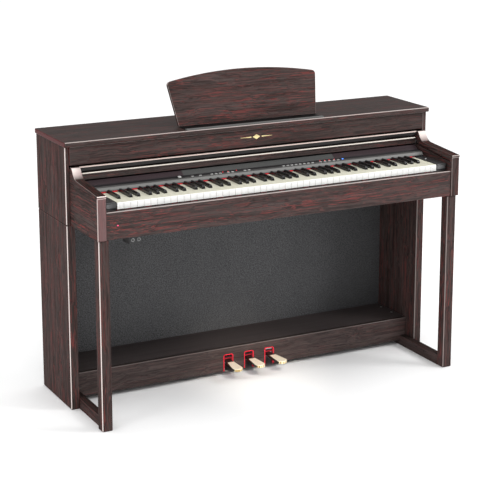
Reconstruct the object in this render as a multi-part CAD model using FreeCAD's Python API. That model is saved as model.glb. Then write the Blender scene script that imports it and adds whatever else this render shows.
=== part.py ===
import FreeCAD, Part
import math
import os

from FreeCAD import Vector

# Digital piano on a panel stand.
# Units are millimetres. +X is to the player's right, +Y goes back from the player, +Z is up.
# The origin is on the floor, under the middle of the overall box.

# ---------------------------------------------------------------- overall sizes
WIDTH = 1420.0
DEPTH = 513.0
LID_TOP = 927.0
BACK_Y = DEPTH / 2
FRONT_Y = -DEPTH / 2
EDGE = 3.5                      # rounding on board edges

# ---------------------------------------------------------------- upper cabinet
LID_THICK = 17.0
LID_FRONT_Y = -30.0
LID_BOTTOM = LID_TOP - LID_THICK
SIDE_OUT = 705.5
ARM_OUT = 690.5
ARM_IN = 659.0
SIDE_FRONT_Y = -17.5
UNIT_BOTTOM = 645.5
REAR_COVER_Y = 246.0
REAR_COVER_THICK = 4.0
FRONT_PANEL_Y = -20.0
FRONT_PANEL_THICK = 16.0
FRONT_PANEL_BOTTOM = 846.5
BED_THICK = 18.0
BED_TOP = UNIT_BOTTOM + BED_THICK
KEYSLIP_FRONT_Y = -251.5
KEYSLIP_BACK_Y = -233.5
KEYSLIP_TOP = 737.0
RAIL_TOP = 842.5
RAIL_BOTTOM = 827.0
RAIL_FRONT_Y = -27.0
RAIL_THICK = 16.0

# ---------------------------------------------------------------- arms
ARM_FRONT_TOP = 793.5
ARM_SLOPE_END_Y = -78.0
ARM_SLOPE_END_Z = 807.1
ARM_REAR_TOP = 843.5
ARM_STEEP = math.radians(62.0)
ARM_HOLLOW_R = 40.0
ARM_CREST_R = 20.0
CAP_THICK = 8.0

# ---------------------------------------------------------------- keyboard
WHITE_PITCH = 23.5
WHITE_COUNT = 52
KEY_GAP = 1.0
KEY_TOP = 760.0
KEY_UNDER = 746.0
KEY_FRONT_Y = -229.0
KEY_APRON_BOTTOM = 738.0
KEY_APRON_THICK = 7.0
KEY_NOSE_R = 2.5
KEY_REAR_Y = 9.0
KEY_PIVOT_Z = 753.0
KEY_ROD_R = 3.0
RUNNING_GAP = 0.05
BLACK_WIDTH = 10.6
BLACK_SLOT = 12.6
BLACK_TOP = 771.0
BLACK_FRONT_Y = -182.5
BLACK_STEP_Y = -92.5
BLACK_TAIL_TOP = 762.0
NOTCH_FRONT_Y = -184.0
KEYS_HALF = WHITE_PITCH * WHITE_COUNT / 2
FIRST_NOTE_STEP = 5             # the lowest white key is an A
MIDDLE_C = 23                   # white key number of the middle C
OCTAVE = 7
CHEEK_IN = 613.5
CHEEK_OUT = 650.5
CHEEK_TOP = 762.0
CHEEK_FRONT_Y = -231.0

# ---------------------------------------------------------------- control panel
PANEL_HALF = 647.0
PANEL_SKIN = 3.0
LIP_EDGE = (-90.5, 765.0)
LIP_TOP = (-82.0, 775.8)
BAND_REAR = (-54.0, 780.7)
PANEL_REAR = (-33.0, 793.5)
BUTTON_Y = -71.0
BUTTON_SIZE = (9.0, 5.0)
BUTTON_TOP = 779.9
BUTTON_BOTTOM = 773.1
BUTTON_GAP = 0.4
LEFT_BUTTON_X = (-271.0, -241.0, -198.0, -182.0, -166.0, -135.0, -119.0, -72.0, -56.0)
RIGHT_ROW_START = 79.5
RIGHT_ROW_STEP = 16.5
RIGHT_ROW_COUNT = 8
END_ROW_START = 228.0
END_ROW_STEP = 18.0
END_ROW_COUNT = 5
SLIDER_X = -319.0
SLIDER_TRAVEL = 18.0
POWER_X = 627.4
POWER_Y = -136.0
POWER_R = 4.0

# ---------------------------------------------------------------- key cover
COVER_SLOPE = math.radians(6.5)
COVER_HALF = 652.0
COVER_TRAVEL = 220.0
COVER_RAIL_FRONT_Y = -30.5
COVER_RAIL_BACK_Y = -14.0
COVER_RAIL_TOP = 821.0
COVER_RAIL_BOTTOM = 797.5
COVER_BOARD_Z = 804.0
COVER_BOARD_THICK = 9.0
COVER_BOARD_REAR_Y = 203.0
GROOVE_Y = -244.0
GROOVE_Z = 771.5
GROOVE_HALF = 4.0
GROOVE_DEPTH = 6.2
PIN_R = 3.6
PIN_REACH = 664.5
FRONT_PIN_Y = -20.0
REAR_PIN_Y = 190.0

# ---------------------------------------------------------------- music rest
REST_TILT = math.radians(18.0)
REST_FRONT_Y = 36.0
REST_BOTTOM_Z = 930.6
REST_THICK = 10.0
REST_BOTTOM_HALF = 269.0
REST_TOP_HALF = 292.0
REST_CORNER_UP = 155.6
REST_APEX_UP = 184.5
REST_CORNER_R = 14.0
REST_HINGE_UP = 5.0
REST_HINGE_BACK = 13.0
REST_HINGE_X = 195.0
PROP_X = 150.0
PROP_LENGTH = 75.0
LEDGE_HALF = 267.0
LEDGE_FRONT_Y = -26.0
LEDGE_LIP_Y = -9.0
LEDGE_REAR_Y = 34.0

# ---------------------------------------------------------------- stand
STAND_OUT = 705.0
STAND_IN = 675.0
LEG_OUT = 685.5
LEG_IN = 649.0
LEG_FRONT_Y = -249.0
LEG_BACK_Y = -210.3
FOOT_IN = 650.0
FOOT_TOP = 38.0
KNEE_FRONT_Y = 237.0
KNEE_THICK = 9.0
KNEE_BOTTOM = 60.0
BOX_FRONT_Y = 38.0
BOX_BOARD_THICK = 18.0
BOX_TOP = 107.0
BOX_BOTTOM = 18.0

# ---------------------------------------------------------------- pedals
PEDAL_SPACING = 83.0
SLOT_HALF = 19.5
SLOT_TOP = 82.0
SLOT_R = 8.0
FELT_THICK = 3.0
PEDAL_TOP_AT_SLOT = 60.0
PEDAL_SLOPE = math.radians(1.0)
PEDAL_THICK = 9.0
PEDAL_NECK_HALF = 10.5
PEDAL_TIP_HALF = 19.3
PEDAL_TIP_Y = -64.0
PEDAL_FAN = math.radians(4.5)
PEDAL_PIVOT_Y = 120.0
PEDAL_PIVOT_Z = 64.0
PEDAL_SHAFT_R = 4.0
PEDAL_HUB_R = 9.0
PEDAL_HUB_HALF = 12.0

# ---------------------------------------------------------------- inside parts
SPEAKER_X = 430.0
SPEAKER_Y = 140.0
SPEAKER_HOLE_R = 70.0
INLET_X = -300.0
INLET_Z = 700.0
JACK_X = (-558.5, -537.5)
JACK_Z = 630.0
JACK_BORE_R = 3.2
SCREW_HEAD_R = 4.2
SCREW_SHANK_R = 1.9
SCREW_HOLE_R = 2.0

X_AXIS = Vector(1, 0, 0)
Y_AXIS = Vector(0, 1, 0)
Z_AXIS = Vector(0, 0, 1)
ORIGIN = Vector(0, 0, 0)

OUT = "parts"
os.makedirs(OUT, exist_ok=True)


# ================================================================ helpers
def box(x0, x1, y0, y1, z0, z1):
    return Part.makeBox(x1 - x0, y1 - y0, z1 - z0, Vector(x0, y0, z0))


def board(x0, x1, y0, y1, z0, z1, radius=EDGE):
    plain = box(x0, x1, y0, y1, z0, z1)
    return plain.makeFillet(radius, plain.Edges)


def rod_x(radius, x0, x1, y, z):
    return Part.makeCylinder(radius, x1 - x0, Vector(x0, y, z), X_AXIS)


def prism_x(points, x0, x1):
    """Solid whose side outline is a list of (y, z) points, from x0 to x1."""
    corners = [Vector(x0, y, z) for y, z in points]
    face = Part.Face(Part.makePolygon(corners + corners[:1]))
    return face.extrude(Vector(x1 - x0, 0, 0))


def wire_prism_x(edges, x0, x1):
    """As prism_x, from edges drawn in the plane x = 0."""
    solid = Part.Face(Part.Wire(edges)).extrude(Vector(x1 - x0, 0, 0))
    solid.translate(Vector(x0, 0, 0))
    return solid


def line(a, b):
    return Part.LineSegment(Vector(*a), Vector(*b)).toShape()


def line_yz(a, b):
    return line((0, a[0], a[1]), (0, b[0], b[1]))


def arc_yz(a, middle, b):
    points = [Vector(0, y, z) for y, z in (a, middle, b)]
    return Part.Arc(*points).toShape()


def mirrored(shape):
    return shape.mirror(ORIGIN, X_AXIS)


def fuse(solids):
    whole = solids[0]
    for solid in solids[1:]:
        whole = whole.fuse(solid)
    return whole.removeSplitter()


def save(name, *shapes):
    solids = []
    for shape in shapes:
        solids += shape.Solids
    whole = solids[0] if len(solids) == 1 else Part.makeCompound(solids)
    whole.exportStep(os.path.join(OUT, name + ".step"))
    return whole


# ================================================================ upper cabinet
def make_top_board():
    return board(-WIDTH / 2, WIDTH / 2, LID_FRONT_Y, BACK_Y, LID_BOTTOM, LID_TOP)


def make_side_panels():
    right = board(ARM_OUT, SIDE_OUT, SIDE_FRONT_Y, BACK_Y, UNIT_BOTTOM, LID_BOTTOM)
    return [right, mirrored(right)]


def make_front_panel():
    back = FRONT_PANEL_Y + FRONT_PANEL_THICK
    return board(-ARM_OUT, ARM_OUT, FRONT_PANEL_Y, back, FRONT_PANEL_BOTTOM, LID_BOTTOM)


def make_upper_rail():
    round_edge = 7.0
    back = RAIL_FRONT_Y + RAIL_THICK
    front = RAIL_FRONT_Y
    slant = round_edge * (1 - math.sqrt(0.5))
    edges = [
        line_yz((front, RAIL_BOTTOM), (front, RAIL_TOP - round_edge)),
        arc_yz(
            (front, RAIL_TOP - round_edge),
            (front + slant, RAIL_TOP - slant),
            (front + round_edge, RAIL_TOP),
        ),
        line_yz((front + round_edge, RAIL_TOP), (back, RAIL_TOP)),
        line_yz((back, RAIL_TOP), (back, RAIL_BOTTOM)),
        line_yz((back, RAIL_BOTTOM), (front, RAIL_BOTTOM)),
    ]
    return wire_prism_x(edges, -ARM_IN, ARM_IN)


def make_key_bed():
    bed = box(-ARM_IN, ARM_IN, KEYSLIP_BACK_Y, REAR_COVER_Y, UNIT_BOTTOM, BED_TOP)
    for side in (-1, 1):
        centre = Vector(side * SPEAKER_X, SPEAKER_Y, UNIT_BOTTOM - 1)
        bed = bed.cut(Part.makeCylinder(SPEAKER_HOLE_R, BED_THICK + 2, centre, Z_AXIS))
    return bed


def make_keyslip():
    return board(-ARM_IN, ARM_IN, KEYSLIP_FRONT_Y, KEYSLIP_BACK_Y, UNIT_BOTTOM, KEYSLIP_TOP)


def make_cheek_blocks():
    recess = 5.0
    step_z = 741.0
    wall = PANEL_REAR[0]
    upper = box(CHEEK_IN, CHEEK_OUT, CHEEK_FRONT_Y, wall, step_z, CHEEK_TOP)
    lower = box(CHEEK_IN, CHEEK_OUT, CHEEK_FRONT_Y + recess, wall, BED_TOP, step_z)
    front_edges = [edge for edge in upper.Edges if edge.BoundBox.YMax < CHEEK_FRONT_Y + 0.1]
    right = fuse([upper.makeFillet(EDGE, front_edges), lower])
    left = mirrored(right)
    pocket_depth = 12.0
    pocket_foot = Vector(POWER_X, POWER_Y, CHEEK_TOP - pocket_depth)
    pocket = Part.makeCylinder(POWER_R + 0.3, pocket_depth, pocket_foot, Z_AXIS)
    return [left, right.cut(pocket)]


# ================================================================ arms
def arm_outline(drop):
    """Edges of the arm's top line at x = 0, from the front to the rear, lowered by drop."""
    slope = math.atan2(ARM_SLOPE_END_Z - ARM_FRONT_TOP, ARM_SLOPE_END_Y - FRONT_Y)
    hollow_r = ARM_HOLLOW_R + drop
    crest_r = ARM_CREST_R - drop
    shift = (drop * math.sin(slope), -drop * math.cos(slope))
    start = (FRONT_Y, ARM_FRONT_TOP - drop / math.cos(slope))
    bend = (ARM_SLOPE_END_Y + shift[0], ARM_SLOPE_END_Z + shift[1])

    hollow_centre = (bend[0] - hollow_r * math.sin(slope), bend[1] + hollow_r * math.cos(slope))

    def on_hollow(angle):
        return (hollow_centre[0] + hollow_r * math.sin(angle), hollow_centre[1] - hollow_r * math.cos(angle))

    def on_crest(centre, angle):
        return (centre[0] - crest_r * math.sin(angle), centre[1] + crest_r * math.cos(angle))

    hollow_end = on_hollow(ARM_STEEP)
    crest_top = ARM_REAR_TOP - drop
    crest_centre_z = crest_top - crest_r
    crest_start_z = crest_centre_z + crest_r * math.cos(ARM_STEEP)
    rise = crest_start_z - hollow_end[1]
    crest_start = (hollow_end[0] + rise / math.tan(ARM_STEEP), crest_start_z)
    crest_centre = (crest_start[0] + crest_r * math.sin(ARM_STEEP), crest_centre_z)
    crest_end = (crest_centre[0], crest_top)
    return [
        line_yz(start, bend),
        arc_yz(bend, on_hollow((slope + ARM_STEEP) / 2), hollow_end),
        line_yz(hollow_end, crest_start),
        arc_yz(crest_start, on_crest(crest_centre, ARM_STEEP / 2), crest_end),
    ], start, crest_end


def cover_groove():
    """Blind groove in the right arm's inner face, in which the key cover's pins run."""
    length_past_pins = 1.0
    first_y = FRONT_PIN_Y - COVER_TRAVEL * math.cos(COVER_SLOPE) - length_past_pins
    last_y = REAR_PIN_Y + length_past_pins
    first = (first_y, groove_z(first_y))
    last = (last_y, groove_z(last_y))
    across = (-math.sin(COVER_SLOPE) * GROOVE_HALF, math.cos(COVER_SLOPE) * GROOVE_HALF)
    corners = [
        (first[0] - across[0], first[1] - across[1]),
        (last[0] - across[0], last[1] - across[1]),
        (last[0] + across[0], last[1] + across[1]),
        (first[0] + across[0], first[1] + across[1]),
    ]
    x0 = ARM_IN - 1
    x1 = ARM_IN + GROOVE_DEPTH
    ends = [rod_x(GROOVE_HALF, x0, x1, *first), rod_x(GROOVE_HALF, x0, x1, *last)]
    return fuse([prism_x(corners, x0, x1)] + ends)


def groove_z(y):
    return GROOVE_Z + (y - GROOVE_Y) * math.tan(COVER_SLOPE)


def rear_screw_places():
    """Places (x, z) of the screws that hold the rear cover to the right arm and the key bed."""
    arm_x = (ARM_IN + ARM_OUT) / 2
    arm_places = [(arm_x, z) for z in (690.0, 750.0, 800.0)]
    bed_places = [(x, (UNIT_BOTTOM + BED_TOP) / 2) for x in (0.0, 560.0)]
    return arm_places, bed_places


def make_arm():
    edges, start, crest_end = arm_outline(CAP_THICK)
    rear_top = (REAR_COVER_Y, crest_end[1])
    rear_bottom = (REAR_COVER_Y, UNIT_BOTTOM)
    front_bottom = (FRONT_Y, UNIT_BOTTOM)
    edges += [
        line_yz(crest_end, rear_top),
        line_yz(rear_top, rear_bottom),
        line_yz(rear_bottom, front_bottom),
        line_yz(front_bottom, start),
    ]
    arm = wire_prism_x(edges, ARM_IN, ARM_OUT)
    front = [edge for edge in arm.Edges if edge.BoundBox.YMax < FRONT_Y + 0.1]
    arm = arm.makeFillet(EDGE, front)
    arm = arm.cut(cover_groove())
    for x, z in rear_screw_places()[0]:
        arm = arm.cut(screw_hole(Vector(x, REAR_COVER_Y, z), Y_AXIS))
    return arm


def make_arm_cap():
    """Strip on the arm's top, from the front end to just under the front panel."""
    top_edges, top_start, top_end = arm_outline(0.0)
    low_edges, low_start, low_end = arm_outline(CAP_THICK)
    stop_y = FRONT_PANEL_Y - 0.5
    edges = top_edges + low_edges + [line_yz(top_start, low_start), line_yz(top_end, low_end)]
    strip = wire_prism_x(Part.sortEdges(edges)[0], ARM_IN, ARM_OUT)
    long_edges = [edge for edge in strip.Edges if abs(edge.BoundBox.XLength) < 0.01]
    outline = [edge for edge in long_edges if edge.BoundBox.YMax > FRONT_Y + 0.1]
    outline = [edge for edge in outline if edge.BoundBox.YLength > 1.0]
    upper = [edge for edge in outline if is_upper(edge)]
    rounded = strip.makeFillet(1.5, upper)
    return rounded.common(box(ARM_IN, ARM_OUT, FRONT_Y, stop_y, UNIT_BOTTOM, LID_TOP))


def is_upper(edge):
    """True for an edge of the cap strip's top line."""
    middle = edge.valueAt((edge.FirstParameter + edge.LastParameter) / 2)
    for top in arm_outline(0.0)[0]:
        if top.distToShape(Part.Vertex(0, middle.y, middle.z))[0] < 0.01:
            return True
    return False


def screw_hole(head_seat, outward):
    """Hole for a wood screw whose head sits at head_seat, facing outward."""
    depth = 15.0
    return Part.makeCylinder(SCREW_HOLE_R, depth, head_seat - outward * depth, outward)


# ================================================================ keyboard
def white_left(number):
    return -KEYS_HALF + number * WHITE_PITCH


def note_step(number):
    """0 for C, 1 for D, and so on up to 6 for B."""
    return (FIRST_NOTE_STEP + number) % OCTAVE


def tail_span(step):
    """Start and end of a white key's narrow tail, measured from its octave's start."""
    lower_tail = (3 * WHITE_PITCH - 2 * BLACK_SLOT) / 3
    upper_tail = (4 * WHITE_PITCH - 3 * BLACK_SLOT) / 4
    if step < 3:
        start = step * (lower_tail + BLACK_SLOT)
        return start, start + lower_tail
    start = 3 * WHITE_PITCH + (step - 3) * (upper_tail + BLACK_SLOT)
    return start, start + upper_tail


def octave_left(number):
    return white_left(number - note_step(number))


def has_black_after(number):
    return note_step(number) not in (2, 6) and number < WHITE_COUNT - 1


def key_bore():
    return rod_x(KEY_ROD_R + RUNNING_GAP, -KEYS_HALF - 20, KEYS_HALF + 20, 0, KEY_PIVOT_Z)


def key_notch(x0, x1):
    return box(x0, x1, NOTCH_FRONT_Y, KEY_REAR_Y + 1, KEY_UNDER - 1, KEY_TOP + 1)


def make_white_key(number):
    x0 = white_left(number) + KEY_GAP / 2
    x1 = white_left(number + 1) - KEY_GAP / 2
    front = KEY_FRONT_Y
    nose = KEY_NOSE_R
    slant = nose * (1 - math.sqrt(0.5))
    apron_y = front + KEY_APRON_THICK
    edges = [
        line_yz((front, KEY_APRON_BOTTOM), (front, KEY_TOP - nose)),
        arc_yz((front, KEY_TOP - nose), (front + slant, KEY_TOP - slant), (front + nose, KEY_TOP)),
        line_yz((front + nose, KEY_TOP), (KEY_REAR_Y, KEY_TOP)),
        line_yz((KEY_REAR_Y, KEY_TOP), (KEY_REAR_Y, KEY_UNDER)),
        line_yz((KEY_REAR_Y, KEY_UNDER), (apron_y, KEY_UNDER)),
        line_yz((apron_y, KEY_UNDER), (apron_y, KEY_APRON_BOTTOM)),
        line_yz((apron_y, KEY_APRON_BOTTOM), (front, KEY_APRON_BOTTOM)),
    ]
    key = wire_prism_x(edges, x0, x1)
    start, end = tail_span(note_step(number))
    tail_left = octave_left(number) + start
    tail_right = octave_left(number) + end
    if number > 0 and has_black_after(number - 1):
        key = key.cut(key_notch(x0 - 1, tail_left))
    if has_black_after(number):
        key = key.cut(key_notch(tail_right, x1 + 1))
    return key.cut(key_bore())


def black_left(number):
    """Left side of the black key that follows white key number."""
    slot_start = octave_left(number) + tail_span(note_step(number))[1]
    return slot_start + (BLACK_SLOT - BLACK_WIDTH) / 2


def make_black_key(number):
    x0 = black_left(number)
    x1 = x0 + BLACK_WIDTH
    top_round = 2.5
    slope_top = (-175.5, BLACK_TOP)
    slope_low = (BLACK_FRONT_Y, 761.0)
    edges = [
        line_yz((BLACK_FRONT_Y, 750.0), slope_low),
        arc_yz(slope_low, (-180.6, 767.4), slope_top),
        line_yz(slope_top, (BLACK_STEP_Y, BLACK_TOP)),
        line_yz((BLACK_STEP_Y, BLACK_TOP), (BLACK_STEP_Y, BLACK_TAIL_TOP)),
        line_yz((BLACK_STEP_Y, BLACK_TAIL_TOP), (KEY_REAR_Y, BLACK_TAIL_TOP)),
        line_yz((KEY_REAR_Y, BLACK_TAIL_TOP), (KEY_REAR_Y, KEY_UNDER)),
        line_yz((KEY_REAR_Y, KEY_UNDER), (-176.0, KEY_UNDER)),
        line_yz((-176.0, KEY_UNDER), (BLACK_FRONT_Y, 750.0)),
    ]
    side = wire_prism_x(edges, x0, x1)
    return side.common(black_section(x0, x1, top_round)).cut(key_bore())


def black_section(x0, x1, radius):
    """Front section of a black key: sides that lean in and rounded top corners."""
    lean = 0.7
    y = BLACK_FRONT_Y - 5
    low = KEY_UNDER - 1
    left_top = x0 + lean
    right_top = x1 - lean
    slant = radius * (1 - math.sqrt(0.5))
    shoulder = BLACK_TOP - radius
    edges = [
        line((x0, y, low), (x0, y, KEY_TOP)),
        line((x0, y, KEY_TOP), (left_top, y, shoulder)),
        Part.Arc(
            Vector(left_top, y, shoulder),
            Vector(left_top + slant, y, BLACK_TOP - slant),
            Vector(left_top + radius, y, BLACK_TOP),
        ).toShape(),
        line((left_top + radius, y, BLACK_TOP), (right_top - radius, y, BLACK_TOP)),
        Part.Arc(
            Vector(right_top - radius, y, BLACK_TOP),
            Vector(right_top - slant, y, BLACK_TOP - slant),
            Vector(right_top, y, shoulder),
        ).toShape(),
        line((right_top, y, shoulder), (x1, y, KEY_TOP)),
        line((x1, y, KEY_TOP), (x1, y, low)),
        line((x1, y, low), (x0, y, low)),
    ]
    return Part.Face(Part.Wire(edges)).extrude(Vector(0, KEY_REAR_Y - y + 5, 0))


def make_key_felts():
    """Red strip above the keys' tails, with a notch for each black key, and the front stop strip."""
    clear = 1.0
    strip_y = LIP_EDGE[0] + 0.4
    strip = box(-KEYS_HALF - 1, KEYS_HALF + 1, strip_y, strip_y + 3.0, 761.0, LIP_EDGE[1])
    for number in range(WHITE_COUNT):
        if has_black_after(number):
            x0 = black_left(number) - clear
            x1 = black_left(number) + BLACK_WIDTH + clear
            strip = strip.cut(box(x0, x1, strip_y - 1, strip_y + 4, 760.0, BLACK_TAIL_TOP + clear))
    stop = box(-KEYS_HALF, KEYS_HALF, -208.0, -196.0, 724.0, 736.0)
    return [strip, stop]


def make_key_frame():
    """Steel frame under the keys: base plate, front stop channel, end plates, dust wall and pivot rod."""
    plate = 3.0
    end_x = CHEEK_IN - 0.2
    end_in = end_x - 1.7
    base_top = BED_TOP + plate
    base = box(-end_x, end_x, -215, 30, BED_TOP, base_top)
    rear = box(-end_x, end_x, 27, 30, base_top, 800)
    channel_front = box(-KEYS_HALF, KEYS_HALF, -212, -210, base_top, 722)
    channel_back = box(-KEYS_HALF, KEYS_HALF, -194, -192, base_top, 722)
    channel_top = box(-KEYS_HALF, KEYS_HALF, -212, -192, 722, 724)
    right_end = box(end_in, end_x, -12, 30, base_top, 762)
    rod = rod_x(KEY_ROD_R, -end_x, end_x, 0, KEY_PIVOT_Z)
    return fuse([base, rear, channel_front, channel_back, channel_top, right_end, mirrored(right_end), rod])


# ================================================================ control panel
def panel_section():
    """Closed outline (y, z) of the panel's skin."""
    dy = LIP_TOP[0] - LIP_EDGE[0]
    dz = LIP_TOP[1] - LIP_EDGE[1]
    flat_back = LIP_EDGE[0] + PANEL_SKIN * math.hypot(dy, dz) / dz
    return [
        LIP_EDGE,
        LIP_TOP,
        BAND_REAR,
        PANEL_REAR,
        (PANEL_REAR[0], PANEL_REAR[1] - PANEL_SKIN - 1.0),
        (BAND_REAR[0] + 0.6, BAND_REAR[1] - PANEL_SKIN),
        (LIP_TOP[0] + 0.5, LIP_TOP[1] - PANEL_SKIN),
        (flat_back, LIP_EDGE[1]),
    ]


def button_places():
    right = [RIGHT_ROW_START + i * RIGHT_ROW_STEP for i in range(RIGHT_ROW_COUNT)]
    right += [END_ROW_START + i * END_ROW_STEP for i in range(END_ROW_COUNT)]
    return list(LEFT_BUTTON_X), right


def make_control_panel():
    skin = prism_x(panel_section(), -PANEL_HALF, PANEL_HALF)
    front_foot = (LIP_EDGE[0], CHEEK_TOP)
    rear_foot = (PANEL_REAR[0], CHEEK_TOP)
    end_outline = [front_foot, LIP_EDGE, LIP_TOP, BAND_REAR, PANEL_REAR, rear_foot]
    right_end = prism_x(end_outline, PANEL_HALF - 4, PANEL_HALF)
    panel = fuse([skin, right_end, mirrored(right_end)])
    half_x = BUTTON_SIZE[0] / 2 + BUTTON_GAP
    half_y = BUTTON_SIZE[1] / 2 + BUTTON_GAP
    left, right = button_places()
    for x in left + right:
        panel = panel.cut(box(x - half_x, x + half_x, BUTTON_Y - half_y, BUTTON_Y + half_y, 770, 790))
    reach = SLIDER_TRAVEL + 2.5
    return panel.cut(box(SLIDER_X - reach, SLIDER_X + reach, BUTTON_Y - 1.4, BUTTON_Y + 1.4, 770, 790))


def make_buttons(places):
    half_x, half_y = BUTTON_SIZE[0] / 2, BUTTON_SIZE[1] / 2
    buttons = []
    for x in places:
        body = box(x - half_x, x + half_x, BUTTON_Y - half_y, BUTTON_Y + half_y, BUTTON_BOTTOM, BUTTON_TOP)
        top_edges = [edge for edge in body.Edges if edge.BoundBox.ZMin > BUTTON_TOP - 0.1]
        buttons.append(body.makeFillet(0.6, top_edges))
    return buttons


def make_volume_slider():
    knob_top = 784.0
    stem = box(SLIDER_X - 2.0, SLIDER_X + 2.0, BUTTON_Y - 1.0, BUTTON_Y + 1.0, 771.5, knob_top - 3)
    knob = box(SLIDER_X - 4.5, SLIDER_X + 4.5, BUTTON_Y - 5.5, BUTTON_Y + 5.5, knob_top - 4.7, knob_top)
    top_edges = [edge for edge in knob.Edges if edge.BoundBox.ZMin > knob_top - 0.1]
    return fuse([stem, knob.makeFillet(1.0, top_edges)])


def make_power_button():
    body = Part.makeCylinder(POWER_R, 12.5, Vector(POWER_X, POWER_Y, CHEEK_TOP - 10.0), Z_AXIS)
    top_edges = [edge for edge in body.Edges if edge.BoundBox.ZMin > CHEEK_TOP + 2.4]
    return body.makeFillet(1.2, top_edges)


# ================================================================ key cover
def make_cover_board():
    rise = (COVER_BOARD_REAR_Y - COVER_RAIL_BACK_Y) * math.tan(COVER_SLOPE)
    thick = COVER_BOARD_THICK / math.cos(COVER_SLOPE)
    outline = [
        (COVER_RAIL_BACK_Y, COVER_BOARD_Z),
        (COVER_RAIL_BACK_Y, COVER_BOARD_Z + thick),
        (COVER_BOARD_REAR_Y, COVER_BOARD_Z + rise + thick),
        (COVER_BOARD_REAR_Y, COVER_BOARD_Z + rise),
    ]
    return prism_x(outline, -COVER_HALF, COVER_HALF)


def make_cover_rail():
    """Front rail with a rounded grip along its top."""
    face_y = COVER_RAIL_FRONT_Y + 2.5
    grip_low = 811.5
    grip_r = 6.0
    top = COVER_RAIL_TOP
    front = COVER_RAIL_FRONT_Y
    slant = grip_r * (1 - math.sqrt(0.5))
    edges = [
        line_yz((face_y, COVER_RAIL_BOTTOM), (face_y, grip_low)),
        line_yz((face_y, grip_low), (front, grip_low + 2.0)),
        line_yz((front, grip_low + 2.0), (front, top - grip_r)),
        arc_yz((front, top - grip_r), (front + slant, top - slant), (front + grip_r, top)),
        line_yz((front + grip_r, top), (COVER_RAIL_BACK_Y, top)),
        line_yz((COVER_RAIL_BACK_Y, top), (COVER_RAIL_BACK_Y, COVER_RAIL_BOTTOM)),
        line_yz((COVER_RAIL_BACK_Y, COVER_RAIL_BOTTOM), (face_y, COVER_RAIL_BOTTOM)),
    ]
    return wire_prism_x(edges, -COVER_HALF, COVER_HALF)


def make_cover_slides():
    """Side plates on the cover, each with a pin that runs in an arm's groove."""
    plate_out = COVER_HALF + 3.5
    half_length = 9.0
    brackets = []
    for pin_y, top_z in ((FRONT_PIN_Y, 815.0), (REAR_PIN_Y, 834.0)):
        pin_z = groove_z(pin_y)
        y0 = pin_y - half_length
        plate = box(COVER_HALF, plate_out, y0, y0 + 2 * half_length, pin_z - 5, top_z)
        pin = rod_x(PIN_R, COVER_HALF + 1, PIN_REACH, pin_y, pin_z)
        right = fuse([plate, pin])
        brackets += [right, mirrored(right)]
    return brackets


# ================================================================ music rest
def rest_point(up, back):
    """Global (y, z) of a point measured up the rest's front face and back from it."""
    y = REST_FRONT_Y + up * math.sin(REST_TILT) + back * math.cos(REST_TILT)
    z = REST_BOTTOM_Z + up * math.cos(REST_TILT) - back * math.sin(REST_TILT)
    return y, z


def stand_rest_up(shape):
    """Turn a shape drawn flat (X across, Y up the rest, Z towards its front) to its place."""
    shape.rotate(ORIGIN, X_AXIS, 90 - math.degrees(REST_TILT))
    shape.translate(Vector(0, REST_FRONT_Y, REST_BOTTOM_Z))
    return shape


def make_music_rest():
    bottom = (REST_BOTTOM_HALF, 0, 0)
    corner = (REST_TOP_HALF, REST_CORNER_UP, 0)
    left_corner = (-REST_TOP_HALF, REST_CORNER_UP, 0)
    left_bottom = (-REST_BOTTOM_HALF, 0, 0)
    edges = [
        line(left_bottom, bottom),
        line(bottom, corner),
        Part.Arc(Vector(*corner), Vector(0, REST_APEX_UP, 0), Vector(*left_corner)).toShape(),
        line(left_corner, left_bottom),
    ]
    panel = Part.Face(Part.Wire(edges)).extrude(Vector(0, 0, -REST_THICK))
    corners = []
    for edge in panel.Edges:
        bounds = edge.BoundBox
        upright = bounds.ZLength > REST_THICK - 0.1 and bounds.XLength < 0.1
        if upright and abs(bounds.YMin - REST_CORNER_UP) < 0.1:
            corners.append(edge)
    panel = panel.makeFillet(REST_CORNER_R, corners)
    front_edges = [edge for edge in panel.Edges if edge.BoundBox.ZMin > -0.01]
    panel = panel.makeFillet(1.5, front_edges)
    return stand_rest_up(panel)


def make_rest_hinges():
    """Leaves screwed to the top board, with the hinge pins."""
    pin_y, pin_z = rest_point(REST_HINGE_UP, REST_HINGE_BACK)
    hinges = []
    for side in (-1, 1):
        x = side * REST_HINGE_X
        leaf = box(x - 20, x + 20, pin_y + 3.6, pin_y + 26, LID_TOP, LID_TOP + 1.5)
        pin = rod_x(1.6, x - 20, x + 20, pin_y, pin_z)
        ears = []
        for low in (x - 20, x + 14):
            ear = rod_x(2.6, low, low + 6, pin_y, pin_z)
            ears.append(ear)
            ears.append(box(low, low + 6, pin_y, pin_y + 4, LID_TOP, pin_z))
        hinges.append(fuse([leaf, pin] + ears))
    return hinges


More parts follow.
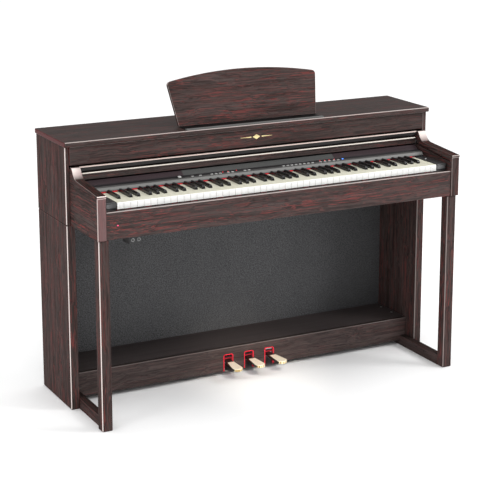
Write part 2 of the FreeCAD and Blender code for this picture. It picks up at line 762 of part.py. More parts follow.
def make_rest_leaves():
    """Plates on the back of the rest, with knuckles on the hinge pins and lugs for the props."""
    pin_y, pin_z = rest_point(REST_HINGE_UP, REST_HINGE_BACK)
    lug_y, lug_z = rest_point(REST_HINGE_UP + PROP_LENGTH, REST_HINGE_BACK)
    gap = REST_HINGE_BACK - REST_THICK
    leaves = []
    for side in (-1, 1):
        x = side * REST_HINGE_X
        up = REST_HINGE_UP
        plate = box(x - 13, x + 13, up - 2, up + 24, -REST_THICK - 1.5, -REST_THICK)
        web = box(x - 13, x + 13, up, up + 3, -REST_THICK - gap, -REST_THICK)
        knuckle = rod_x(3.0, x - 13, x + 13, pin_y, pin_z)
        leaf = fuse([stand_rest_up(plate), stand_rest_up(web), knuckle])
        leaves.append(leaf.cut(rod_x(1.6 + RUNNING_GAP, x - 21, x + 21, pin_y, pin_z)))
    for side in (-1, 1):
        x = side * PROP_X
        up = REST_HINGE_UP + PROP_LENGTH
        base = box(x - 14, x + 14, up - 8, up + 8, -REST_THICK - 0.8, -REST_THICK)
        ears = []
        for low in (x - 10, x + 8):
            ears.append(box(low, low + 2, up - 3, up + 3, -REST_THICK - 5.5, -REST_THICK))
        lug = fuse([stand_rest_up(base)] + [stand_rest_up(ear) for ear in ears])
        lug = lug.fuse(rod_x(1.2, x - 10, x + 10, lug_y, lug_z)).removeSplitter()
        leaves.append(lug)
    return leaves


def make_rest_props():
    """Two bars that swing out behind the rest and stand on the top board."""
    lug_y, lug_z = rest_point(REST_HINGE_UP + PROP_LENGTH, REST_HINGE_BACK)
    hinge_y, foot_z = rest_point(REST_HINGE_UP, REST_HINGE_BACK)
    foot_y = hinge_y + 2 * PROP_LENGTH * math.sin(REST_TILT)
    bars = []
    for side in (-1, 1):
        x = side * PROP_X
        top = Vector(x, lug_y, lug_z)
        foot = Vector(x, foot_y, foot_z)
        bar = Part.makeCylinder(2.1, (foot - top).Length, top, foot - top)
        eye = rod_x(2.2, x - 7, x + 7, lug_y, lug_z)
        pad = rod_x(3.7, x - 7, x + 7, foot_y, foot_z)
        prop = fuse([bar, eye, pad]).cut(rod_x(1.2 + RUNNING_GAP, x - 11, x + 11, lug_y, lug_z))
        bars.append(prop)
    return bars


def make_music_ledge():
    outline = [
        (LEDGE_FRONT_Y, LID_TOP),
        (LEDGE_FRONT_Y, LID_TOP + 3.5),
        (LEDGE_LIP_Y, LID_TOP + 3.5),
        (LEDGE_LIP_Y, LID_TOP + 1.2),
        (LEDGE_REAR_Y, LID_TOP + 1.2),
        (LEDGE_REAR_Y, LID_TOP),
    ]
    return prism_x(outline, -LEDGE_HALF, LEDGE_HALF)


# ================================================================ stand
def make_stand_panels():
    right = board(STAND_IN, STAND_OUT, SIDE_FRONT_Y, BACK_Y, 0, UNIT_BOTTOM)
    return [mirrored(right), right]


def make_legs():
    right = board(LEG_IN, LEG_OUT, LEG_FRONT_Y, LEG_BACK_Y, 0, UNIT_BOTTOM)
    return [mirrored(right), right]


def make_foot_rails():
    right = box(FOOT_IN, STAND_IN, LEG_BACK_Y, KNEE_FRONT_Y - 1, 0, FOOT_TOP)
    return [mirrored(right), right]


def make_knee_board():
    back = KNEE_FRONT_Y + KNEE_THICK
    return box(-STAND_IN, STAND_IN, KNEE_FRONT_Y, back, KNEE_BOTTOM, UNIT_BOTTOM)


def pedal_centres():
    return [-PEDAL_SPACING, 0.0, PEDAL_SPACING]


def slot_shape(x, half, top, radius, y0, y1):
    """Slot with a rounded top, open at the board's lower edge."""
    body = box(x - half, x + half, y0, y1, BOX_BOTTOM - 1, top)
    corners = []
    for edge in body.Edges:
        bounds = edge.BoundBox
        if bounds.YLength > abs(y1 - y0) - 0.1 and bounds.ZMin > top - 0.1:
            corners.append(edge)
    return body.makeFillet(radius, corners)


def make_pedal_board():
    back = BOX_FRONT_Y + BOX_BOARD_THICK
    face = board(-STAND_IN, STAND_IN, BOX_FRONT_Y, back, BOX_BOTTOM, BOX_TOP)
    for x in pedal_centres():
        face = face.cut(slot_shape(x, SLOT_HALF, SLOT_TOP, SLOT_R, BOX_FRONT_Y - 1, back + 1))
    notch = box(FOOT_IN - 0.5, STAND_IN + 1, BOX_FRONT_Y - 1, back + 1, BOX_BOTTOM - 1, FOOT_TOP + 0.5)
    return face.cut(notch).cut(mirrored(notch))


def box_screw_places():
    """Places (x, y) of the screws in the pedal box's top, on the right side."""
    x = 656.0
    return [(x, 113.0), (x, 187.0)]


def make_pedal_box_top():
    front = BOX_FRONT_Y + BOX_BOARD_THICK
    top = box(-STAND_IN, STAND_IN, front, KNEE_FRONT_Y, BOX_TOP - BOX_BOARD_THICK, BOX_TOP)
    for x, y in box_screw_places():
        for side in (-1, 1):
            top = top.cut(screw_hole(Vector(side * x, y, BOX_TOP), Z_AXIS))
    return top


def make_slot_felts():
    """Red felt liner of each slot, with a cross bar above the pedal."""
    inner_half = SLOT_HALF - FELT_THICK
    y0 = BOX_FRONT_Y - 1.2
    y1 = BOX_FRONT_Y + 12.0
    liners = []
    for x in pedal_centres():
        outer = slot_shape(x, SLOT_HALF, SLOT_TOP, SLOT_R, y0, y1)
        inner = slot_shape(x, inner_half, SLOT_TOP - FELT_THICK, SLOT_R - FELT_THICK, y0 - 1, y1 + 1)
        liner = outer.cut(inner)
        bar = box(x - inner_half, x + inner_half, BOX_FRONT_Y + 7, BOX_FRONT_Y + 12, 62.0, 70.0)
        liner = fuse([liner, bar])
        liners.append(liner.common(box(x - 50, x + 50, 0, 100, BOX_BOTTOM, 200)))
    return liners


def pedal_hub_x(index):
    """Middle of a pedal's hub: the outer pedals lean out, turning about their slots."""
    lean = (index - 1) * (PEDAL_PIVOT_Y - BOX_FRONT_Y) * math.tan(PEDAL_FAN)
    return pedal_centres()[index] - lean


def make_pedal(index):
    """Brass lever: a tongue that widens to a round tip, and a hub on the pedal shaft."""
    tail_y = 34.0
    tip_centre = PEDAL_TIP_Y + PEDAL_TIP_HALF - BOX_FRONT_Y
    rear = PEDAL_PIVOT_Y - BOX_FRONT_Y + tail_y
    right_front = (PEDAL_TIP_HALF, tip_centre, 0)
    left_front = (-PEDAL_TIP_HALF, tip_centre, 0)
    tip = Vector(0, tip_centre - PEDAL_TIP_HALF, 0)
    edges = [
        line((-PEDAL_NECK_HALF, rear, 0), (PEDAL_NECK_HALF, rear, 0)),
        line((PEDAL_NECK_HALF, rear, 0), (PEDAL_NECK_HALF, 0, 0)),
        line((PEDAL_NECK_HALF, 0, 0), right_front),
        Part.Arc(Vector(*right_front), tip, Vector(*left_front)).toShape(),
        line(left_front, (-PEDAL_NECK_HALF, 0, 0)),
        line((-PEDAL_NECK_HALF, 0, 0), (-PEDAL_NECK_HALF, rear, 0)),
    ]
    tongue = Part.Face(Part.Wire(edges)).extrude(Vector(0, 0, -PEDAL_THICK))
    rim = [edge for edge in tongue.Edges if edge.BoundBox.ZMin > -0.01]
    tongue = tongue.makeFillet(1.8, rim)
    tongue.rotate(ORIGIN, X_AXIS, math.degrees(PEDAL_SLOPE))
    tongue.rotate(ORIGIN, Z_AXIS, math.degrees(PEDAL_FAN) * (index - 1))
    tongue.translate(Vector(pedal_centres()[index], BOX_FRONT_Y, PEDAL_TOP_AT_SLOT))
    hub_x = pedal_hub_x(index)
    x0 = hub_x - PEDAL_HUB_HALF
    x1 = hub_x + PEDAL_HUB_HALF
    hub = rod_x(PEDAL_HUB_R, x0, x1, PEDAL_PIVOT_Y, PEDAL_PIVOT_Z)
    bore = rod_x(PEDAL_SHAFT_R + RUNNING_GAP, x0 - 9, x1 + 9, PEDAL_PIVOT_Y, PEDAL_PIVOT_Z)
    return fuse([tongue, hub]).cut(bore)


def make_pedal_frame():
    """Steel frame under the pedal box's top: shaft that carries the pedals, and a wall behind them."""
    top = BOX_TOP - BOX_BOARD_THICK
    half = 120.0
    ear = 3.0
    plate = box(-half, half, 85, 163, top - ear, top)
    wall = box(-half, half, 160, 163, 4, top - ear)
    solids = [plate, wall]
    for low in (-half, -43.0, 40.0, half - ear):
        solids.append(box(low, low + ear, 108, 132, PEDAL_PIVOT_Z - 9, top - ear))
    solids.append(rod_x(PEDAL_SHAFT_R, -half - 3, half + 3, PEDAL_PIVOT_Y, PEDAL_PIVOT_Z))
    return fuse(solids)


def make_pedal_springs():
    """Return spring beside each pedal's hub, wound round the shaft."""
    wire_r = 0.9
    coil_r = 6.3
    pitch = 2.4
    turns_long = 14.4
    springs = []
    for index in range(3):
        start_x = pedal_hub_x(index) + PEDAL_HUB_HALF + 2.0
        helix = Part.makeHelix(pitch, turns_long, coil_r)
        section = Part.Wire(Part.makeCircle(wire_r, Vector(coil_r, 0, 0), Y_AXIS))
        spring = Part.Wire(helix).makePipeShell([section], True, True)
        spring.rotate(ORIGIN, Y_AXIS, 90)
        spring.translate(Vector(start_x, PEDAL_PIVOT_Y, PEDAL_PIVOT_Z))
        springs.append(spring)
    return springs


# ================================================================ inside parts
def make_speakers():
    """Loudspeaker drivers over the key bed's holes, facing down."""
    drivers = []
    for side in (-1, 1):
        foot = Vector(side * SPEAKER_X, SPEAKER_Y, BED_TOP)
        flange = Part.makeCylinder(80, 4, foot, Z_AXIS)
        basket = Part.makeCone(74, 34, 36, foot + Vector(0, 0, 4), Z_AXIS)
        magnet = Part.makeCylinder(40, 18, foot + Vector(0, 0, 38), Z_AXIS)
        driver = fuse([flange, basket, magnet])
        cone = Part.makeCone(68, 20, 30, foot, Z_AXIS)
        drivers.append(driver.cut(cone))
    return drivers


def make_speaker_grilles():
    thick = 2.0
    radius = 76.0
    bar_step = 12.0
    slot_half = 3.0
    grilles = []
    for side in (-1, 1):
        centre = Vector(side * SPEAKER_X, SPEAKER_Y, UNIT_BOTTOM - thick)
        disc = Part.makeCylinder(radius, thick, centre, Z_AXIS)
        for row in range(-5, 6):
            y = SPEAKER_Y + row * bar_step
            reach = math.sqrt(66.0 ** 2 - (row * bar_step) ** 2)
            x = side * SPEAKER_X
            slot = box(x - reach, x + reach, y - slot_half, y + slot_half, UNIT_BOTTOM - 5, UNIT_BOTTOM + 1)
            disc = disc.cut(slot)
        grilles.append(disc)
    return grilles


def make_main_board():
    """Circuit board on four pillars, with chips and connectors."""
    x0, x1, y0, y1 = -60.0, 240.0, 60.0, 210.0
    low = BED_TOP + 10
    thick = 1.6
    solids = [box(x0, x1, y0, y1, low, low + thick)]
    for x in (x0 + 8, x1 - 8):
        for y in (y0 + 8, y1 - 8):
            solids.append(Part.makeCylinder(3.5, 10, Vector(x, y, BED_TOP), Z_AXIS))
    for x, y, size in ((20.0, 130.0, 26.0), (90.0, 120.0, 34.0), (170.0, 150.0, 22.0)):
        solids.append(box(x, x + size, y, y + size, low + thick, low + thick + 3))
    for i in range(5):
        x = x0 + 25 + i * 52
        solids.append(box(x, x + 32, y0 + 4, y0 + 14, low + thick, low + thick + 9))
    return fuse(solids)


def make_power_supply():
    case = box(-330, -110, 60, 160, BED_TOP, BED_TOP + 46)
    for i in range(8):
        x = -310 + i * 24
        case = case.cut(box(x, x + 8, 75, 145, BED_TOP + 43, BED_TOP + 50))
    return case


def make_rear_cover():
    y0 = REAR_COVER_Y
    cover = box(-ARM_OUT + 0.5, ARM_OUT - 0.5, y0, y0 + REAR_COVER_THICK, UNIT_BOTTOM, LID_BOTTOM)
    cover = cover.cut(box(INLET_X - 12.2, INLET_X + 12.2, y0 - 1, y0 + 10, INLET_Z - 9.2, INLET_Z + 9.2))
    for i in range(14):
        x = 180 + i * 16
        cover = cover.cut(box(x, x + 6, y0 - 1, y0 + 10, 700, 760))
    arm_places, bed_places = rear_screw_places()
    for x, z in arm_places + bed_places:
        for side in (-1, 1):
            seat = Vector(side * x, y0 + REAR_COVER_THICK, z)
            cover = cover.cut(screw_hole(seat, Y_AXIS))
    return cover


def make_ac_inlet():
    """Two-pin mains inlet in the rear cover, open to the back."""
    y_out = REAR_COVER_Y + REAR_COVER_THICK
    flange = box(INLET_X - 17, INLET_X + 17, y_out, y_out + 2, INLET_Z - 12, INLET_Z + 12)
    body = box(INLET_X - 12, INLET_X + 12, y_out - 20, y_out, INLET_Z - 9, INLET_Z + 9)
    shell = fuse([flange, body])
    shell = shell.cut(box(INLET_X - 9, INLET_X + 9, y_out - 15, y_out + 3, INLET_Z - 6, INLET_Z + 6))
    pins = []
    for offset in (-4.3, 4.3):
        base = Vector(INLET_X + offset, y_out - 16, INLET_Z)
        pins.append(Part.makeCylinder(1.2, 12, base, Y_AXIS))
    return fuse([shell] + pins)


def make_jack_box():
    case = board(-570, -526, -226, -170, 615, UNIT_BOTTOM, 1.0)
    for x in JACK_X:
        case = case.cut(Part.makeCylinder(5.55, 24, Vector(x, -228, JACK_Z), Y_AXIS))
    return case


def make_jack_sockets():
    sockets = []
    for x in JACK_X:
        ring = Part.makeCylinder(6.2, 2.5, Vector(x, -228.5, JACK_Z), Y_AXIS)
        barrel = Part.makeCylinder(5.5, 21, Vector(x, -226, JACK_Z), Y_AXIS)
        bore = Part.makeCylinder(JACK_BORE_R, 19.5, Vector(x, -229.5, JACK_Z), Y_AXIS)
        sockets.append(fuse([ring, barrel]).cut(bore))
    return sockets


def wood_screw(seat, outward):
    """Pan-head cross-slot screw, its head standing on seat."""
    head_height = 2.4
    length = 13.0
    head = Part.makeCylinder(SCREW_HEAD_R, head_height, seat, outward)
    shank = Part.makeCylinder(SCREW_SHANK_R, length, seat - outward * length, outward)
    screw = fuse([head, shank])
    across = Vector(1, 0, 0)
    along = outward.cross(across)
    for a, b in ((across, along), (along, across)):
        corner = seat + outward * (head_height - 1.2) - a * 2.4 - b * 0.5
        far = corner + a * 4.8 + b * 1.0 + outward * 2.0
        low = Vector(min(corner.x, far.x), min(corner.y, far.y), min(corner.z, far.z))
        high = Vector(max(corner.x, far.x), max(corner.y, far.y), max(corner.z, far.z))
        screw = screw.cut(box(low.x, high.x, low.y, high.y, low.z, high.z))
    return screw


def make_screws():
    screws = []
    for x, y in box_screw_places():
        for side in (-1, 1):
            screws.append(wood_screw(Vector(side * x, y, BOX_TOP), Z_AXIS))
    arm_places, bed_places = rear_screw_places()
    seat_y = REAR_COVER_Y + REAR_COVER_THICK
    for x, z in arm_places + bed_places[1:]:
        for side in (-1, 1):
            screws.append(wood_screw(Vector(side * x, seat_y, z), Y_AXIS))
    screws.append(wood_screw(Vector(bed_places[0][0], seat_y, bed_places[0][1]), Y_AXIS))
    return screws


def drill_bed_for_screws(bed):
    for x, z in rear_screw_places()[1]:
        for side in (-1, 1):
            bed = bed.cut(screw_hole(Vector(side * x, REAR_COVER_Y, z), Y_AXIS))
    return bed


# ================================================================ write every node
save("top_board", make_top_board())
save("side_panels", *make_side_panels())
save("front_panel", make_front_panel())
save("upper_rail", make_upper_rail())
save("rear_cover", make_rear_cover())
save("key_bed", drill_bed_for_screws(make_key_bed()))
save("keyslip", make_keyslip())
right_arm = make_arm()
save("right_arm", right_arm)
save("left_arm", mirrored(right_arm))
right_cap = make_arm_cap()
save("arm_caps", right_cap, mirrored(right_cap))
save("cheek_blocks", *make_cheek_blocks())
save("control_panel", make_control_panel())
save("key_felts", *make_key_felts())
save("key_frame", make_key_frame())
save("music_ledge", make_music_ledge())
save("rest_hinges", *make_rest_hinges())
save("speakers", *make_speakers())
save("speaker_grilles", *make_speaker_grilles())
save("main_board", make_main_board())
save("power_supply", make_power_supply())
save("ac_inlet", make_ac_inlet())
save("jack_box", make_jack_box())
save("jack_sockets", *make_jack_sockets())
save("stand_panels", *make_stand_panels())
save("front_legs", *make_legs())
save("foot_rails", *make_foot_rails())
save("knee_board", make_knee_board())
save("pedal_board", make_pedal_board())
save("pedal_box_top", make_pedal_box_top())
save("slot_felts", *make_slot_felts())
save("pedal_frame", make_pedal_frame())
save("pedal_springs", *make_pedal_springs())
save("screws", *make_screws())

save("key_cover", make_cover_board())
save("cover_rail", make_cover_rail())
save("cover_slides", *make_cover_slides())
save("music_rest", make_music_rest())
save("rest_leaves", *make_rest_leaves())
save("rest_props", *make_rest_props())
for pedal_index, pedal_name in enumerate(("left_pedal", "middle_pedal", "right_pedal")):
    save(pedal_name, make_pedal(pedal_index))
save("power_button", make_power_button())
save("volume_slider", make_volume_slider())
left_places, right_places = button_places()
save("left_buttons", *make_buttons(left_places))
save("right_buttons", *make_buttons(right_places))

# One octave from the middle C has a node for each key; the other keys share two nodes.
WHITE_NAMES = ("c", "d", "e", "f", "g", "a", "b")
other_whites = []
other_blacks = []
for key_number in range(WHITE_COUNT):
    middle = MIDDLE_C <= key_number < MIDDLE_C + OCTAVE
    name = WHITE_NAMES[note_step(key_number)]
    white = make_white_key(key_number)
    if middle:
        save("white_key_" + name, white)
    else:
        other_whites.append(white)
    if has_black_after(key_number):
        black = make_black_key(key_number)
        if middle:
            save("black_key_" + name + "_sharp", black)
        else:
            other_blacks.append(black)
save("other_white_keys", *other_whites)
save("other_black_keys", *other_blacks)
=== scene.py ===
import math

import bmesh
import bpy
from mathutils import Matrix, Vector


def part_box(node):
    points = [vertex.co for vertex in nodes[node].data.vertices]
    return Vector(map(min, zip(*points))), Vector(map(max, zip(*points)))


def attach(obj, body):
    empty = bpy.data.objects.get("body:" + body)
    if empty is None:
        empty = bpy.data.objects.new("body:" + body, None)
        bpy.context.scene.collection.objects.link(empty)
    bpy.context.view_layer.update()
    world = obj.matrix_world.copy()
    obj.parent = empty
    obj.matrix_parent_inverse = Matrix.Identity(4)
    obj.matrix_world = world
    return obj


# Looks of the digital piano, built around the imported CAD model.
# Units are metres: +X to the player's right, +Y back, +Z up, the floor at z = 0.

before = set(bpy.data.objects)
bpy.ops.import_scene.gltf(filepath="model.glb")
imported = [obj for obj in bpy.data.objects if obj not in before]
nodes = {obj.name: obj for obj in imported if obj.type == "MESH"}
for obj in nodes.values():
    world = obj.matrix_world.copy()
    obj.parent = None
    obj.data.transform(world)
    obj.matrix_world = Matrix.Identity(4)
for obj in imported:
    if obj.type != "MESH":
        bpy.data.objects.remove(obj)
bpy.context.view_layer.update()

MM = 0.001
KEY_PITCH = 0.0235                      # one white key
KEYS_LEFT = -0.6110                     # left end of the white keys
OCTAVE_KEYS = 7
GAP_FROM_MIDDLE = 3 / 14                # B-C and E-F, as part of an octave that starts at A
CAP_SEAM = 0.7850                       # joint between an arm and its cap at the front
CAP_FRONT_TOP = 0.7935
LIP_EDGE_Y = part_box("control_panel")[0][1]
LIP_TOP_Y = LIP_EDGE_Y + 0.0085
BAND_FRONT_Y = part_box("left_buttons")[1][1] - 0.0010
BAND_REAR_Y = LIP_EDGE_Y + 0.0365
BAND_SLOPE = 0.175
# behind this the pedal material paints the arm black as shade
PEDAL_ARM_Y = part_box("middle_pedal")[0][1] + 0.078      # the foot plate's rear end


# ================================================================ camera, lights, floor
CAMERA_PLACE = Vector((-2.4135, -4.6242, 1.9281))
CAMERA_AZIMUTH = math.radians(27.43)
CAMERA_ELEVATION = math.radians(12.57)
CAMERA_LENS = 110.05
CAMERA_SHIFT = (-0.0008, -0.1638)


def make_camera():
    data = bpy.data.cameras.new("camera")
    data.sensor_width = 36.0
    data.lens = CAMERA_LENS
    data.shift_x, data.shift_y = CAMERA_SHIFT
    data.clip_end = 100.0
    forward = Vector((
        math.sin(CAMERA_AZIMUTH) * math.cos(CAMERA_ELEVATION),
        math.cos(CAMERA_AZIMUTH) * math.cos(CAMERA_ELEVATION),
        -math.sin(CAMERA_ELEVATION),
    ))
    right = Vector((math.cos(CAMERA_AZIMUTH), -math.sin(CAMERA_AZIMUTH), 0))
    up = right.cross(forward)
    camera = bpy.data.objects.new("camera", data)
    turn = Matrix((right, up, -forward)).transposed().to_4x4()
    camera.matrix_world = Matrix.Translation(CAMERA_PLACE) @ turn
    bpy.context.scene.collection.objects.link(camera)
    bpy.context.scene.camera = camera


def aim_light(name, data, place, direction):
    light = bpy.data.objects.new(name, data)
    aim = Vector(direction).to_track_quat("-Z", "Y")
    light.matrix_world = Matrix.Translation(place) @ aim.to_matrix().to_4x4()
    bpy.context.scene.collection.objects.link(light)


def softbox(name, place, target, width, height, power):
    data = bpy.data.lights.new(name, "AREA")
    data.shape = "RECTANGLE"
    data.size = width
    data.size_y = height
    data.energy = power
    aim_light(name, data, place, Vector(target) - Vector(place))


def spotlight(name, place, direction, angle, power, colour):
    data = bpy.data.lights.new(name, "SPOT")
    data.energy = power
    data.color = colour
    data.spot_size = math.radians(angle)
    data.spot_blend = 1.0
    data.shadow_soft_size = 0.12
    aim_light(name, data, place, direction)


def make_lights():
    middle = (0, 0, 0.7)
    softbox("overhead_softbox", (0.2, -0.9, 3.4), middle, 3.6, 1.6, 14)
    softbox("right_softbox", (3.4, -2.4, 3.4), middle, 1.3, 1.3, 75)
    softbox("left_softbox", (-3.8, -1.4, 1.5), middle, 0.9, 2.6, 22)
    softbox("front_softbox", (-0.4, -4.8, 2.4), middle, 2.4, 1.4, 22)
    spotlight("pedal_spot", (-0.15, -1.3, 1.0), (0.15, 1.28, -0.95), 20, 72, (1.0, 0.93, 0.84))


def make_world():
    """Pale dome: bright overhead, dimmer towards the horizon."""
    world = bpy.data.worlds.new("studio")
    bpy.context.scene.world = world
    world.use_nodes = True
    tree = world.node_tree
    background = tree.nodes["Background"]
    coords = tree.nodes.new("ShaderNodeTexCoord")
    split = tree.nodes.new("ShaderNodeSeparateXYZ")
    ramp = tree.nodes.new("ShaderNodeValToRGB")
    ramp.color_ramp.elements[0].position = 0.22
    ramp.color_ramp.elements[0].color = (0.08, 0.08, 0.08, 1)
    ramp.color_ramp.elements[1].position = 0.70
    ramp.color_ramp.elements[1].color = (1.0, 1.0, 1.0, 1)
    tree.links.new(coords.outputs["Generated"], split.inputs[0])
    tree.links.new(split.outputs["Z"], ramp.inputs[0])
    tree.links.new(ramp.outputs[0], background.inputs["Color"])
    background.inputs["Strength"].default_value = 1.45


def make_floor():
    half = 20.0
    mesh = bpy.data.meshes.new("studio_floor")
    corners = [(-half, -half, 0), (half, -half, 0), (half, half, 0), (-half, half, 0)]
    mesh.from_pydata(corners, [], [(0, 1, 2, 3)])
    floor = bpy.data.objects.new("studio_floor", mesh)
    bpy.context.scene.collection.objects.link(floor)
    graph = Graph("floor_paint")
    tone = graph.noise(graph.object_coords(), 3.0, 2.0)
    graph.colour(graph.ramp(tone, [(0.3, (0.94, 0.94, 0.94)), (0.7, (0.96, 0.96, 0.96))]))
    graph.set("Roughness", 0.9)
    graph.set("Specular IOR Level", 0.1)
    mesh.materials.append(graph.material)


# ================================================================ node helpers
class Graph:
    """A material and its node tree, with short calls for the nodes used here."""

    def __init__(self, name):
        self.material = bpy.data.materials.new(name)
        self.material.use_nodes = True
        self.tree = self.material.node_tree
        self.shader = self.tree.nodes["Principled BSDF"]

    def new(self, kind, **settings):
        node = self.tree.nodes.new("ShaderNode" + kind)
        for key, value in settings.items():
            setattr(node, key, value)
        return node

    def feed(self, socket, value):
        """Link an output to the socket, or set the socket to a plain value."""
        if isinstance(value, bpy.types.NodeSocket):
            self.tree.links.new(value, socket)
        elif isinstance(value, (tuple, list)) and len(value) == 3 and socket.type == "RGBA":
            socket.default_value = (*value, 1)
        else:
            socket.default_value = value

    def set(self, name, value):
        self.feed(self.shader.inputs[name], value)

    def colour(self, value):
        self.set("Base Color", value)

    def shade_colour(self, factor):
        """Multiply the base colour by another colour."""
        before = self.shader.inputs["Base Color"].links[0].from_socket
        self.colour(self.mix(1.0, before, factor, "MULTIPLY"))

    def object_coords(self):
        return self.new("TexCoord").outputs["Object"]

    def surface_normal(self):
        return self.new("TexCoord").outputs["Normal"]

    def stretch(self, vector, scale, offset=(0, 0, 0)):
        node = self.new("Mapping")
        self.feed(node.inputs["Vector"], vector)
        node.inputs["Scale"].default_value = scale
        node.inputs["Location"].default_value = offset
        return node.outputs[0]

    def turn_x(self, vector, angle):
        node = self.new("VectorRotate", rotation_type="X_AXIS")
        self.feed(node.inputs["Vector"], vector)
        node.inputs["Angle"].default_value = angle
        return node.outputs[0]

    def noise(self, vector, scale, detail=3.0, roughness=0.5, distortion=0.0):
        node = self.new("TexNoise")
        self.feed(node.inputs["Vector"], vector)
        node.inputs["Scale"].default_value = scale
        node.inputs["Detail"].default_value = detail
        node.inputs["Roughness"].default_value = roughness
        node.inputs["Distortion"].default_value = distortion
        return node.outputs[0]

    def ramp(self, factor, stops):
        """Colour ramp; a stop's value is a colour or a single grey."""
        node = self.new("ValToRGB")
        self.feed(node.inputs[0], factor)
        elements = node.color_ramp.elements
        while len(elements) < len(stops):
            elements.new(0.5)
        for element, (position, value) in zip(elements, stops):
            element.position = position
            rgb = value if isinstance(value, tuple) else (value, value, value)
            element.color = (*rgb, 1)
        return node.outputs[0]

    def mix(self, factor, a, b, blend="MIX"):
        node = self.new("Mix", data_type="RGBA", blend_type=blend)
        self.feed(node.inputs[0], factor)
        self.feed(node.inputs[6], a)
        self.feed(node.inputs[7], b)
        return node.outputs[2]

    def calc(self, operation, a, b=0.0):
        node = self.new("Math", operation=operation)
        self.feed(node.inputs[0], a)
        self.feed(node.inputs[1], b)
        return node.outputs[0]

    def part(self, vector, axis):
        node = self.new("SeparateXYZ")
        self.feed(node.inputs[0], vector)
        return node.outputs[axis]

    def step(self, value, low, high):
        """0 below low, 1 above high, smooth between; low may be the larger one."""
        node = self.new("MapRange", interpolation_type="SMOOTHSTEP")
        self.feed(node.inputs["Value"], value)
        flip = low > high
        node.inputs["From Min"].default_value = min(low, high)
        node.inputs["From Max"].default_value = max(low, high)
        node.inputs["To Min"].default_value = 1.0 if flip else 0.0
        node.inputs["To Max"].default_value = 0.0 if flip else 1.0
        return node.outputs[0]

    def between(self, value, low, high, soft):
        """1 from low to high, 0 outside, with soft edges."""
        rise = self.step(value, low - soft, low + soft)
        fall = self.step(value, high + soft, high - soft)
        return self.calc("MULTIPLY", rise, fall)

    def bump(self, height, distance, strength=1.0):
        node = self.new("Bump")
        self.feed(node.inputs["Height"], height)
        node.inputs["Distance"].default_value = distance
        node.inputs["Strength"].default_value = strength
        self.feed(self.shader.inputs["Normal"], node.outputs[0])

    def edges(self, low=0.93, high=0.985, tilt=0.0):
        """1 where the surface faces between the axes, as on a rounded edge, and 0 on the flats."""
        normal = self.surface_normal()
        if tilt:
            normal = self.turn_x(normal, tilt)
        node = self.new("SeparateXYZ")
        self.feed(node.inputs[0], normal)
        sizes = [self.calc("ABSOLUTE", node.outputs[i]) for i in range(3)]
        largest = self.calc("MAXIMUM", self.calc("MAXIMUM", sizes[0], sizes[1]), sizes[2])
        return self.step(largest, high, low)


# ================================================================ wood
WOOD_DARK = (0.036, 0.027, 0.025)
WOOD_MIDDLE = (0.062, 0.046, 0.043)
WOOD_LIGHT = (0.092, 0.068, 0.064)
WOOD_RED = (0.215, 0.050, 0.046)
WOOD_PORE = (0.018, 0.013, 0.013)
# painted highlight colour for rounded wood edges
WOOD_EDGE_HIGHLIGHT = (0.90, 0.79, 0.75)
WOOD_LID_END = (0.085, 0.007, 0.008)    # red-stained end faces
GRAIN_TURN = {
    "X": (0, 0, 0),
    "Y": (0, 0, math.radians(90)),
    "Z": (0, math.radians(90), 0),
}


def grain_pattern(graph, vector, red):
    """Colour and height of rosewood whose grain runs along the vector's X."""
    wave = graph.noise(graph.stretch(vector, (3.5, 9.0, 9.0)), 1.0, 3.0)
    push = graph.calc("MULTIPLY", graph.calc("SUBTRACT", wave, 0.5), 0.055)
    bend = graph.new("CombineXYZ")
    graph.feed(bend.inputs[1], push)
    graph.feed(bend.inputs[2], push)
    add = graph.new("VectorMath", operation="ADD")
    graph.feed(add.inputs[0], vector)
    graph.feed(add.inputs[1], bend.outputs[0])
    wavy = add.outputs[0]
    bands = graph.noise(graph.stretch(wavy, (2.2, 60.0, 60.0)), 1.0, 7.0, 0.72)
    fine = graph.noise(graph.stretch(wavy, (26.0, 420.0, 420.0), (3, 1, 7)), 1.0, 3.0, 0.6)
    streaks = graph.noise(graph.stretch(wavy, (5.5, 320.0, 320.0), (11, 5, 2)), 1.0, 4.0, 0.66)
    shades = graph.noise(graph.stretch(wavy, (4.5, 260.0, 260.0), (1, 8, 3)), 1.0, 4.0, 0.66)
    patches = graph.noise(graph.stretch(wavy, (3.0, 24.0, 24.0), (5, 9, 4)), 1.0, 4.0, 0.6)
    ground = graph.ramp(bands, [(0.34, WOOD_DARK), (0.50, WOOD_MIDDLE), (0.68, WOOD_LIGHT)])
    veins = graph.step(streaks, 0.49, 0.62)
    where = graph.ramp(graph.step(patches, 0.40, 0.64), [(0.0, 0.30), (1.0, 1.0)])
    amount = graph.calc("MULTIPLY", graph.calc("MULTIPLY", veins, where), red)
    colour = graph.mix(amount, ground, WOOD_RED)
    pores = graph.step(shades, 0.50, 0.38)
    colour = graph.mix(graph.calc("MULTIPLY", pores, 0.60), colour, WOOD_PORE)
    specks = graph.step(fine, 0.46, 0.32)
    colour = graph.mix(graph.calc("MULTIPLY", specks, 0.45), colour, WOOD_PORE)
    return colour, fine


